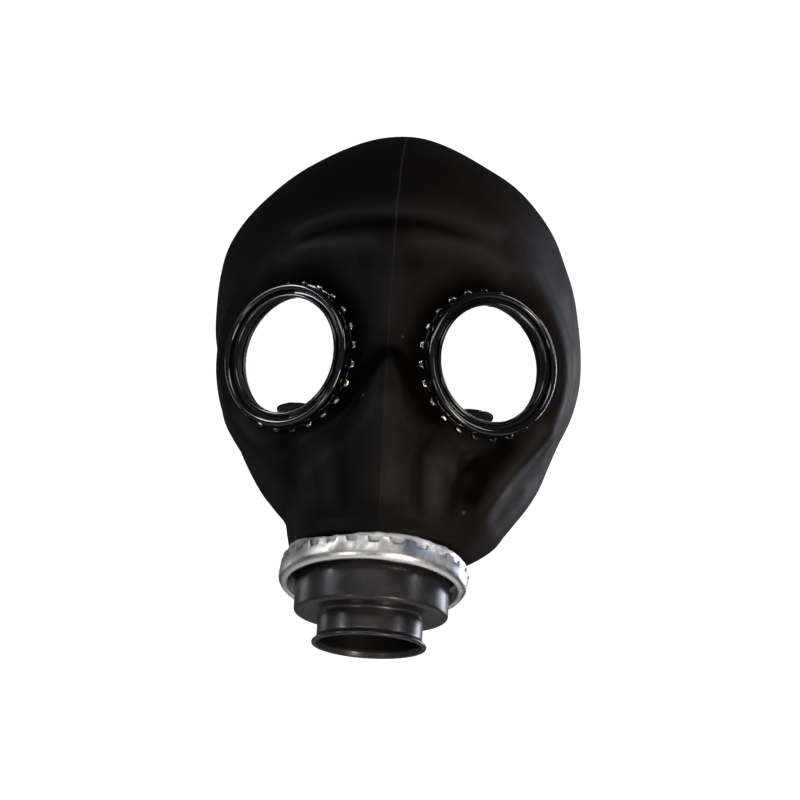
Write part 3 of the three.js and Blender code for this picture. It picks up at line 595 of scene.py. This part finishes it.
def reliefAt(point):
    # what the rubber's material needs to know: crests, creases and the shaded skin beside the rims
    relief = foldRise(point) / fullRise
    for side, outwards, centre in eyeFrames:
        radius, ahead = inEye(point, outwards, centre)
        towardsNose = (centre[0] - point[..., 0]) * side / radius
        weight = rimShade["everywhere"] + rimShade["nose"] * towardsNose
        weight = np.clip(weight + rimShade["above"] * point[..., 2] / radius, rimShade["least"], 1)
        past = np.maximum(radius - eye["toothRadius"], 0)
        ring = np.exp(-(past / rimShade["width"]) ** 2) * (ahead > -eye["rear"])
        relief = relief - rimShade["strength"] * weight * ring
    return np.clip(relief, -1, 1)


edgeLine = curveThrough([(back * hood["rearReach"], heightOf(height)) for height, back in freeEdge], 80)


def edgeAngles(station):
    # how far round each row runs before it meets the free edge
    low, high = np.full(station.shape, 0.9), np.full(station.shape, math.pi)
    for _ in range(40):
        middle = (low + high) / 2
        point = bareSkin(middle, station)
        ahead = point[..., 1] < np.interp(point[..., 2], edgeLine[:, 1], edgeLine[:, 0])
        low, high = np.where(ahead, middle, low), np.where(ahead, high, middle)
    return (low + high) / 2


def stationAt(height):
    tries = np.linspace(0, lastStation, 4000)
    return float(np.interp(height, sectionAt(tries)[:, 2], tries))


def buildHood():
    upper = stationAt(heightOf(hood["crownFrom"]))
    rows = np.concatenate([
        np.linspace(0, socketStation, hood["lowRows"], endpoint=False),
        np.linspace(socketStation, upper, hood["faceRows"], endpoint=False),
        np.linspace(upper, lastStation, hood["crownRows"])])
    # the rings are whole at the tube and at the crown, and open between; rows crowd where that changes
    whole = edgeAngles(rows) > math.pi - 1e-6
    for k in np.nonzero(whole[1:] != whole[:-1])[0]:
        closed, opened = (rows[k], rows[k + 1]) if whole[k] else (rows[k + 1], rows[k])
        for _ in range(40):
            middle = (opened + closed) / 2
            if edgeAngles(np.array([middle]))[0] > math.pi - 1e-6:
                closed = middle
            else:
                opened = middle
        away = np.array([0, 0.04, 0.15, 0.35, 0.65, 1.1, 1.7, 2.5])
        rows = np.concatenate([rows, closed + away * np.sign(opened - closed)])
    rows = np.unique(np.clip(rows, 0, lastStation))
    share = np.linspace(-1, 1, hood["columns"] + 1)
    # columns crowd towards the middle of the face
    spread = hood["even"] * share + hood["crowded"] * share ** 3
    angle = edgeAngles(rows)[:, None] * spread[None, :]
    station = np.repeat(rows[:, None], angle.shape[1], axis=1)
    points = skin(angle, station)

    bm = gridMesh(points)
    bmesh.ops.remove_doubles(bm, verts=bm.verts, dist=0.02)
    # the holes for the eyepieces
    for _, outwards, centre in eyeFrames:
        away = [(v, Vector(v.co) - Vector(centre)) for v in bm.verts]
        inside = [v for v, d in away
                  if (d - Vector(outwards) * d.dot(outwards)).length < eye["sleeve"] - hood["holeMargin"]
                  and d.y < eye["rear"]]
        bmesh.ops.delete(bm, geom=inside, context="VERTS")
        for v in bm.verts:
            d = v.co - Vector(centre)
            flat = d - Vector(outwards) * d.dot(outwards)
            if v.is_boundary and flat.length < eye["rim"] + 2 and d.y < eye["rear"]:
                v.co += flat.normalized() * (eye["sleeve"] + fit - flat.length)
    thing = finishBmesh("faceHood", bm, rubber, sharpAngle=50)
    bm = bmesh.new()
    bm.from_mesh(thing.data)
    if sum(f.normal.dot(f.calc_center_median()) for f in bm.faces) < 0:
        bmesh.ops.reverse_faces(bm, faces=bm.faces)
    bm.to_mesh(thing.data)
    bm.free()

    place = np.array([v.co for v in thing.data.vertices]) / mm
    relief = thing.data.attributes.new("relief", "FLOAT", "POINT")
    relief.data.foreach_set("value", reliefAt(place))
    thickness = thing.vertex_groups.new(name="thickness")
    base = hood["wall"] / (hood["wall"] + hood["beadWall"])
    fromEdge = distanceToLine(place[:, 1:3], edgeLine)[0]
    weight = base + (1 - base) * (1 - smoothstep(fromEdge, 0, hood["beadWidth"]))
    for index, value in enumerate(weight):
        thickness.add([index], float(value), "REPLACE")
    shell = thing.modifiers.new("shell", "SOLIDIFY")
    shell.thickness = (hood["wall"] + hood["beadWall"]) * mm
    shell.offset = -1
    shell.vertex_group = "thickness"
    lip = thing.modifiers.new("lip", "BEVEL")
    lip.width = 0.6 * mm
    lip.segments = 3
    lip.limit_method = "ANGLE"
    lip.angle_limit = math.radians(60)
    return thing


faceHood = buildHood()
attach(faceHood, "root")
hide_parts("face_hood")
print("hood done", len(faceHood.data.polygons))


# eyepieces: local Z points out of the mask, 0 is the rim's front plane
def halfRound(radius, along, size):
    # a bead's front, from its outer side to its inner side
    turns = np.linspace(0, math.pi, 11)
    return [(radius + size * math.cos(t), along + size * math.sin(t), 0) for t in turns]


# teeth: start, duty and flank are shares of the pitch; the last key is how far from the eye's middle
# towards the nose the teeth with the painted glint begin
tooth = dict(count=24, start=0.2, duty=0.36, flank=0.09, columns=16, length=1.7, bend=0.25,
             drop=0.75, worn=11)


def toothRing(name, matrix, side, centre):
    # stamped ring, its edge cut into teeth that are domed and bent a little to the front
    root = eye["toothRadius"] - tooth["length"]
    segments = tooth["count"] * tooth["columns"]
    back, front = -eye["toothFront"] - eye["toothThick"], -eye["toothFront"]
    phase = (np.arange(segments) % tooth["columns"]) / tooth["columns"]
    cutEnd = tooth["start"] + tooth["duty"]
    shown = (smoothstep(phase, tooth["start"], tooth["start"] + tooth["flank"])
             - smoothstep(phase, cutEnd, cutEnd + tooth["flank"]))
    points = np.zeros((8, segments, 3))
    for j, up in enumerate(shown):
        tip = root + (eye["toothRadius"] - root) * up
        angle = 2 * math.pi * j / segments
        inner = eye["sleeve"] + fit
        rings = [(inner, back), (inner, front), (root - 0.3, front),
                 (root * 0.75 + tip * 0.25, front + tooth["bend"] * up),
                 (root * 0.4 + tip * 0.6, front + (tooth["bend"] - 0.15) * up),
                 (tip - 0.2 * up, front - 0.35 * up), (tip, front - tooth["drop"] * up - 0.05), (tip, back)]
        for i, (r, z) in enumerate(rings):
            points[i, j] = (r * math.cos(angle), r * math.sin(angle), z)
    bm = gridMesh(points, closedAcross=True, closedAlong=True)
    thing = finishBmesh(name, bm, rimLacquer, matrix, 48)
    # the tips of the teeth beside the nose get the bright steel as a painted glint
    paintFaces(thing, teethGlintMetal, matrix, lambda radius, height, spot: (
        radius > root + 0.5 and height > back + 0.1 and (centre[0] - spot.x) * side > tooth["worn"]))
    return thing


# the rim's two beads with a groove between them; past dullFrom the wall round the glass is dull,
# but for the side within dullSide of the middle and on to the nose
rimBeads = dict(outer=31.4, outerBack=1.6, outerSize=1.6, grooveOuter=29.7, grooveInner=28.3,
                groove=2.8, inner=27.35, innerBack=1.8, innerSize=0.85, throat=26.5, throatBack=5.4,
                pocketBack=5.5, dullFrom=2.6, dullSide=4)


def buildEye(side, outwards, centre):
    label = "Left" if side < 0 else "Right"
    node = label.lower()
    matrix = frameAlong(Vector(centre), outwards)
    rim = turned("eyeRim" + label, [
        (eye["sight"], -eye["depth"], 0.3), (eye["sleeve"], -eye["depth"], 0.3),
        (eye["sleeve"], -eye["beadDepth"], 0.2), (eye["rim"] - 0.3, -eye["beadDepth"], 0.3),
        (eye["rim"], -eye["beadDepth"] + 1.2, 0.9),
        *halfRound(rimBeads["outer"], -rimBeads["outerBack"], rimBeads["outerSize"]),
        (rimBeads["grooveOuter"], -rimBeads["groove"], 0.4),
        (rimBeads["grooveInner"], -rimBeads["groove"], 0.4),
        *halfRound(rimBeads["inner"], -rimBeads["innerBack"], rimBeads["innerSize"]),
        (rimBeads["throat"], -rimBeads["throatBack"], 0.2),
        (eye["pocket"], -rimBeads["pocketBack"], 0.1), (eye["pocket"], -eye["ledge"], 0.1),
        (eye["sight"], -eye["ledge"], 0.2),
    ], rimLacquer, matrix, 144, 5)
    # the wall round the glass is dull on the far side and keeps its gloss beside the nose
    paintFaces(rim, innerEnamel, matrix, lambda radius, height, spot: (
        radius < eye["sleeve"] - 0.2 and height < -rimBeads["dullFrom"]
        and (spot.x - centre[0]) * side > -rimBeads["dullSide"]))
    lens = turned("eyeGlass" + label, [
        (0.0, -eye["ledge"] + fit, 0), (eye["pocket"] - fit, -eye["ledge"] + fit, 0.15),
        (eye["pocket"] - fit, -eye["ledge"] + fit + eye["glass"], 0.15),
        (0.0, -eye["ledge"] + fit + eye["glass"], 0),
    ], glass, matrix, 144, 2)
    snapBack = -eye["ledge"] + eye["glass"] + 2 * fit
    snap = turned("glassRetainer" + label, [
        (eye["pocket"] - fit - eye["retainerWidth"], snapBack, 0.3), (eye["pocket"] - fit, snapBack, 0.1),
        (eye["pocket"] - fit, snapBack + eye["retainerThick"], 0.5),
        (eye["pocket"] - fit - eye["retainerWidth"], snapBack + eye["retainerThick"], 0.5),
    ], innerEnamel, matrix, 144, 4)
    teeth = toothRing("toothRing" + label, matrix, side, centre)
    backingFront = -eye["seat"] - hood["wall"] - fit
    backing = turned("backingRing" + label, [
        (eye["sleeve"] + fit, backingFront - eye["backingThick"], 0.3),
        (eye["toothRadius"], backingFront - eye["backingThick"], 0.4),
        (eye["toothRadius"], backingFront, 0.3), (eye["sleeve"] + fit, backingFront, 0.2),
    ], rimLacquer, matrix, 96, 3)
    for thing, name, slot in ((rim, "eye_rim_", "black_lacquer"),
                              (lens, "eye_glass_", "clear_glass"),
                              (snap, "glass_retainer_", "black_lacquer"),
                              (teeth, "tooth_ring_", "black_lacquer"),
                              (backing, "backing_ring_", "black_lacquer")):
        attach(thing, "root")
        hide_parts(name + node)


for side, outwards, centre in eyeFrames:
    buildEye(side, outwards, centre)
print("eyepieces done")

# air ducts: strips on the inside of the cheeks, their round ends show through the glass
# near an eyepiece they tuck behind it, wholly within tuckFull of the teeth and not past tuckEnd
duct = dict(thick=1.6, standOff=1.0, halfWidth=11.0, dome=0.12, tuckFull=2, tuckEnd=9, rows=60,
            columns=24)
# turn in degrees at the left and right, height
ductTurns = [(26, 26, -0.65), (30, 29, -0.52), (35, 33, -0.38), (40.5, 37.5, -0.225)]


def buildDuct(side, outwards, centre):
    turns = [(left if side < 0 else right, heightOf(height)) for left, right, height in ductTurns]
    route = curveThrough(turns, duct["rows"])
    station = np.array([stationAt(z) for z in route[:, 1]])
    turn = np.radians(route[:, 0]) * side
    middle = skin(turn, station)
    reach = duct["halfWidth"] / np.hypot(middle[:, 0], middle[:, 1])
    along = np.linspace(0, 1, duct["rows"])
    dome = np.clip((along - 1 + duct["dome"]) / duct["dome"], 0, 1)
    width = np.sqrt(np.clip(1 - dome ** 2, 0.004, 1))
    turned = np.linspace(0, 2 * math.pi, duct["columns"], endpoint=False)
    # a flat oval section, swept along the cheek
    across = np.sign(np.cos(turned)) * np.abs(np.cos(turned)) ** 0.7
    deep = 0.5 - 0.5 * np.sign(np.sin(turned)) * np.abs(np.sin(turned)) ** 0.5
    angle = turn[:, None] + across[None, :] * (reach * width)[:, None]
    grid = np.repeat(station[:, None], duct["columns"], axis=1)
    point = skin(angle, grid)
    depth = hood["wall"] + fit + duct["standOff"] + deep * duct["thick"]
    point = point - normalOf(skin, angle, grid) * depth[None, :, None]
    radius, ahead = inEye(point, outwards, centre)
    behind = 1 - smoothstep(radius, eye["toothRadius"] + duct["tuckFull"],
                            eye["toothRadius"] + duct["tuckEnd"])
    highest = eye["seat"] - eye["depth"] - fit - deep * duct["thick"]
    point = point + outwards * (behind * np.minimum(0, highest[None, :] - ahead))[..., None]
    label = "Left" if side < 0 else "Right"
    bm = gridMesh(point, closedAcross=True)
    bmesh.ops.holes_fill(bm, edges=[e for e in bm.edges if e.is_boundary], sides=0)
    thing = finishBmesh("airDuct" + label, bm, rubberSmall, sharpAngle=45)
    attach(thing, "root")
    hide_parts("air_duct_" + label.lower())


for side, outwards, centre in eyeFrames:
    buildDuct(side, outwards, centre)
print("ducts done")

# valve box: local Z runs down its axis, 0 is the plane of the clamp's lower lip
box = dict(drum=35.0, below=12.6, above=12.0, sheet=1.2, ease=1.6, neck=23.9, neckLength=13.8, flare=2.2,
           roll=2.0, inlet=12.0, overlap=3.2, flap=1.0, stud=2.6, studHeight=1.6)
mouth = box["below"] + box["neckLength"]
shelf = box["below"] - 2 * box["sheet"]
valveFrame = frameAlong(valveTop, valveAxis)
valveBox = turned("valveBox", [
    (box["drum"], -box["above"], 0.4), (box["drum"], box["below"] - box["ease"] * 0.7, 1.4),
    (box["drum"] - box["ease"], box["below"], 1.2), (box["neck"] + 0.6, box["below"], 1.0),
    (box["neck"], box["below"] + 0.9, 0.8), (box["neck"], mouth - box["roll"] - 1.2, 0.8),
    (box["neck"] + box["flare"], mouth - box["roll"] * 0.62, 0.9),
    (box["neck"] + box["flare"] - 0.2, mouth - 0.1, 0.7), (box["neck"] + 0.2, mouth, 0.5),
    (box["neck"] - box["sheet"], mouth - box["roll"] - 1.0, 0.8),
    (box["neck"] - box["sheet"], shelf + box["sheet"], 0.3), (box["inlet"], shelf + box["sheet"], 0.3),
    (box["inlet"], shelf, 0.3), (box["drum"] - box["sheet"], shelf, 0.4),
    (box["drum"] - box["sheet"], -box["above"], 0.3),
], boxLacquer, valveFrame, 160, 6)
paintFaces(valveBox, innerEnamel, valveFrame, lambda radius, height, spot: (
    radius < box["neck"] - box["sheet"] + 0.4 and height < mouth - 1.5
    or height < shelf + 0.1 and radius < box["drum"] - 0.5))
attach(valveBox, "root")
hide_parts("valve_box")

seat = shelf - fit
inletFlap = turned("inletFlap", [
    (0.0, seat, 0), (box["inlet"] + box["overlap"], seat, 0.3),
    (box["inlet"] + box["overlap"], seat - box["flap"], 0.4), (box["stud"], seat - box["flap"], 0.3),
    (box["stud"], seat - box["flap"] - box["studHeight"], 0.6),
    (0.0, seat - box["flap"] - box["studHeight"], 0),
], rubberSmall, valveFrame, 96, 3)
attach(inletFlap, "root")
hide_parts("inlet_flap")
print("valve box done")

# clamp: a channel of rolled strip, crimped over a slotted collar
clamp = dict(height=14.0, bulge=4.2, metal=1.2, tilt=math.radians(6), play=1.0, skew=1.5,
             slant=math.radians(3), roll=3.0, crimps=26, crimpDepth=2.2, crimpIn=0.25, crimpEdge=6,
             crimpDrift=0.9, wave=0.9, waveCount=3.1, nick=0.8, nickCount=11, ragged=0.55, dent=0.35,
             dentCount=2.2, dip=3.4,
             dipAngle=math.radians(118), dipSpread=math.radians(31), collarMetal=0.8, collarShows=0.5,
             collarFoot=6.5, slots=24, columns=520)
clamp["lip"] = tubeRadius + fit + clamp["play"]
clamp["outer"] = clamp["lip"] + clamp["bulge"]
clamp["collarOuter"] = tubeRadius + fit + clamp["collarMetal"]
clamp["top"] = clamp["collarOuter"] + fit + clamp["skew"] + clamp["metal"]


# radius over the lip (1 is the outer wall), along, lip, flange, share of the crimps' zigzag
bandSection = [
    (0.00, -0.6, 1, 0, 0), (0.06, 0.0, 1, 0, 0), (0.28, 0.35, 1, 0, 0), (0.58, 0.15, 1, 0, 0),
    (0.80, -0.9, 1, 0, 0), (0.96, -2.1, 0.3, 0, 0), (1.00, -3.0, 0, 0, 0), (1.00, -4.6, 0, 0, 0),
    (1.00, -6.2, 0, 0, 0), (1.00, -7.8, 0, 0, 0.3), (1.00, -8.9, 0, 0, 1), (0.93, -9.2, 0, 0.5, 1),
    (0.84, -9.4, 0, 1, 1), (0.70, -10.3, 0, 1, 0.2), (0.64, -11.6, 0, 1, 0), (0.62, -13.2, 0, 1, 0),
    (0.55, -14.0, 0, 1, 0),
]


def buildBand():
    outer, lip, top = clamp["outer"], clamp["lip"], clamp["top"]
    height, metal = clamp["height"], clamp["metal"]
    shown = [(lip + share * (outer - lip), along, shine, flange, zigzag)
             for share, along, shine, flange, zigzag in bandSection]
    inside = [(top - metal + 0.2, -height, 0, 1, 0), (top - metal, -13.2, 0, 1, 0),
              (outer - metal - 0.5, -9.4, 0, 0, 0), (outer - metal, -8, 0, 0, 0),
              (outer - metal, -clamp["roll"], 0, 0, 0), (outer - metal - 0.5, -1.8, 0, 0, 0),
              (lip + 0.9, -0.75, 1, 0, 0)]
    section = shown + inside
    angle = np.linspace(0, 2 * math.pi, clamp["columns"], endpoint=False)
    points = np.zeros((len(section), clamp["columns"], 3))
    marks = np.zeros((3, len(section), clamp["columns"]))
    for j, turn in enumerate(angle):
        here = Vector((math.cos(turn), math.sin(turn), 0))
        # square waves at an uneven pitch, as pliers leave them
        pitch = clamp["crimps"] * turn + clamp["crimpDrift"] * math.sin(3 * turn)
        crimp = 0.5 + 0.5 * math.tanh(clamp["crimpEdge"] * math.sin(pitch))
        edge = noise.noise(here * clamp["waveCount"]) * clamp["wave"]
        edge += noise.noise(here * clamp["nickCount"] + Vector((0, 0, 5))) * clamp["nick"]
        dent = noise.noise(here * clamp["dentCount"] + Vector((7, 0, 0))) * clamp["dent"]
        gap = (turn - clamp["dipAngle"] + math.pi) % (2 * math.pi) - math.pi
        bent = clamp["dip"] * math.exp(-(gap / clamp["dipSpread"]) ** 2)
        for i, (radius, z, shine, flange, zigzag) in enumerate(section):
            share = float(smoothstep(-z, clamp["roll"], height))
            spread = radius + dent * share * 0.6 - clamp["crimpIn"] * crimp * zigzag
            ragged = share ** 3 * (bent + 0.4 + edge * clamp["ragged"])
            points[i, j] = (spread * here.x + share * clamp["skew"], spread * here.y,
                            z + zigzag * clamp["crimpDepth"] * (crimp - 0.5) + ragged
                            + share * radius * here.x * math.tan(clamp["slant"]))
            pressed = crimp * float(smoothstep(-z, 6.0, 7.6)) * (1 - flange)
            marks[:, i, j] = (shine, flange, pressed)
    bm = gridMesh(points, closedAcross=True, closedAlong=True)
    return bm, marks.reshape(3, -1)


clampFrame = (valveFrame @ Matrix.Translation((0, 0, -clamp["height"] / 2))
              @ Matrix.Rotation(-clamp["tilt"], 4, 'X') @ Matrix.Translation((0, 0, clamp["height"] / 2)))
bandMesh, bandMarks = buildBand()
clampBand = finishBmesh("clampBand", bandMesh, clampMetal, clampFrame, 50)
for label, values in zip(("lip", "flange", "crimp"), bandMarks):
    clampBand.data.attributes.new(label, "FLOAT", "POINT").data.foreach_set("value", values)
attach(clampBand, "root")
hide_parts("clamp_band")


def buildCollar():
    # thin sheet ring with dark slots punched just under its edge
    inner, outer = tubeRadius + fit, clamp["collarOuter"]
    top = -(clamp["height"] + clamp["collarShows"])
    levels = [top, top + 0.35, top + 1.3, top + 2.6, top + 3.4, -clamp["collarFoot"]]
    # eight columns to a slot's pitch; the slot is open from the second to the sixth
    slotPitch, slotFrom, slotTo, slotRow = 8, 2, 6, 2
    bm = bmesh.new()
    columns = clamp["slots"] * slotPitch
    rings = []
    for radius in (inner, outer):
        rings.append([[bm.verts.new((radius * math.cos(2 * math.pi * j / columns),
                                     radius * math.sin(2 * math.pi * j / columns), z))
                       for j in range(columns)] for z in levels])
    for j in range(columns):
        k = (j + 1) % columns
        for i in range(len(levels) - 1):
            if i == slotRow and slotFrom <= j % slotPitch < slotTo:
                continue
            for ring in rings:
                bm.faces.new((ring[i][j], ring[i][k], ring[i + 1][k], ring[i + 1][j]))
    for i, (a, b) in enumerate(zip(*rings)):
        for j in range(columns):
            k = (j + 1) % columns
            inSlot = slotFrom <= j % slotPitch < slotTo
            if i in (0, len(levels) - 1) or i in (slotRow, slotRow + 1) and inSlot:
                bm.faces.new((a[j], a[k], b[k], b[j]))
    a, b = rings
    for j in range(columns):
        if j % slotPitch in (slotFrom, slotTo):
            bm.faces.new((a[slotRow][j], a[slotRow + 1][j], b[slotRow + 1][j], b[slotRow][j]))
    return bm


clampCollar = finishBmesh("clampCollar", buildCollar(), clampMetal, valveFrame, 50)
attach(clampCollar, "root")
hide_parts("clamp_collar")
print("clamp done")


# stage: pale floor and backdrop, soft lights, camera
def stageMaterial(name, shade, glow):
    material, tree, shader = newMaterial(name)
    feed(tree, shader, {"Base Color": colour(shade), "Roughness": 0.8,
                        "Emission Color": colour("#ffffff"), "Emission Strength": glow})
    return material


def stagePlane(name, size, location, rotation, material):
    bm = bmesh.new()
    bmesh.ops.create_grid(bm, x_segments=1, y_segments=1, size=size / 2)
    bmesh.ops.transform(bm, matrix=Matrix.Translation(location) @ rotation.to_4x4(), verts=bm.verts)
    mesh = bpy.data.meshes.new(name)
    bm.to_mesh(mesh)
    bm.free()
    thing = bpy.data.objects.new(name, mesh)
    bpy.context.scene.collection.objects.link(thing)
    mesh.materials.append(material)
    return thing


paper = stageMaterial("matte white paper", "#f4f4f4", 0.0)
litPaper = stageMaterial("back-lit white paper", "#f4f4f4", 1.0)
stagePlane("floor", 6, (0, 0, -0.7), Matrix.Identity(3), paper)
backdrop = stagePlane("backdrop", 6, (0, 2.2, 1.5), Matrix.Rotation(math.radians(90), 3, 'X'), litPaper)
# seen through the glass and round the mask, but without white rims on the gloss
backdrop.visible_glossy = False
backdrop.visible_diffuse = False


def areaLight(name, location, target, width, power, tint, height):
    data = bpy.data.lights.new(name, "AREA")
    data.energy = power
    data.color = colour(tint)[:3]
    data.shape = "RECTANGLE"
    data.size = width
    data.size_y = height
    thing = bpy.data.objects.new(name, data)
    bpy.context.scene.collection.objects.link(thing)
    thing.location = location
    thing.rotation_euler = (Vector(target) - Vector(location)).to_track_quat('-Z', 'Y').to_euler()
    return thing


# name, location and what it looks at in metres, width, watts, tint, height; the narrow ones
# draw the bright lines on the lacquer
lights = [
    ("frontWall", (0.1, -1.75, -0.15), (0, -0.05, -0.03), 2.4, 1.6, "#fbf7f2", 1.5),
    ("topSoft", (-0.05, -0.85, 0.5), (0, -0.08, -0.02), 0.9, 2.6, "#ffffff", 0.22),
    ("highLeft", (-0.85, -0.45, 0.4), (0, -0.08, -0.08), 0.14, 2.6, "#f4f6ff", 0.4),
    ("highRight", (0.85, -0.35, 0.4), (0, -0.08, -0.08), 0.14, 2.1, "#f4f6ff", 0.45),
    ("sideRight", (0.74, 0.52, 0.28), (0.03, -0.05, 0.03), 0.22, 2.2, "#e2eaff", 0.55),
    ("sideLow", (0.66, 0.66, 0.0), (0.03, -0.06, -0.1), 0.2, 2.3, "#f2f5ff", 0.5),
    ("sideLeft", (-0.8, 0.35, -0.05), (-0.03, -0.06, -0.09), 0.3, 0.45, "#f4f6ff", 0.4),
    ("lowRight", (0.5, -0.8, -0.42), (0, -0.08, -0.02), 0.16, 4.0, "#fff0e2", 0.4),
    ("lowLeft", (-0.42, -0.85, -0.4), (0, -0.08, -0.02), 0.12, 1.0, "#fff4ea", 0.2),
    ("lowFront", (0.1, -0.7, -0.8), (0, -0.08, -0.05), 0.6, 1.0, "#fff8f0", 0.12),
]
for row in lights:
    areaLight(*row)

world = bpy.data.worlds.new("studio")
bpy.context.scene.world = world
world.use_nodes = True
background = world.node_tree.nodes["Background"]
background.inputs["Color"].default_value = colour("#e9edf2")
background.inputs["Strength"].default_value = 0.07

view = dict(distance=1.215, azimuth=math.radians(2.9), elevation=math.radians(-9.75), roll=math.radians(3.0),
            lens=112.95, aimRight=0.00179, aimDown=0.0047)


def placeCamera():
    # solved from the eyepieces and the outline in the photo
    az, el, roll = view["azimuth"], view["elevation"], view["roll"]
    back = Vector((math.sin(az) * math.cos(el), -math.cos(az) * math.cos(el), math.sin(el)))
    right = Vector((math.cos(az), math.sin(az), 0))
    upward = back.cross(right)
    rolledRight = math.cos(roll) * right + math.sin(roll) * upward
    rolledUp = math.cos(roll) * upward - math.sin(roll) * right
    target = rolledRight * view["aimRight"] - rolledUp * view["aimDown"]
    location = back * view["distance"]
    forward = (target - location).normalized()
    rolledRight = (rolledRight - forward * rolledRight.dot(forward)).normalized()
    turn = Matrix((rolledRight, rolledRight.cross(forward), -forward)).transposed()
    data = bpy.data.cameras.new("camera")
    data.lens = view["lens"]
    data.sensor_width = 36
    data.clip_start = 0.05
    thing = bpy.data.objects.new("camera", data)
    bpy.context.scene.collection.objects.link(thing)
    thing.matrix_world = Matrix.Translation(location) @ turn.to_4x4()
    bpy.context.scene.camera = thing


placeCamera()
bpy.context.scene.view_settings.view_transform = "Standard"
bpy.context.scene.view_settings.look = "None"

print("stage done")
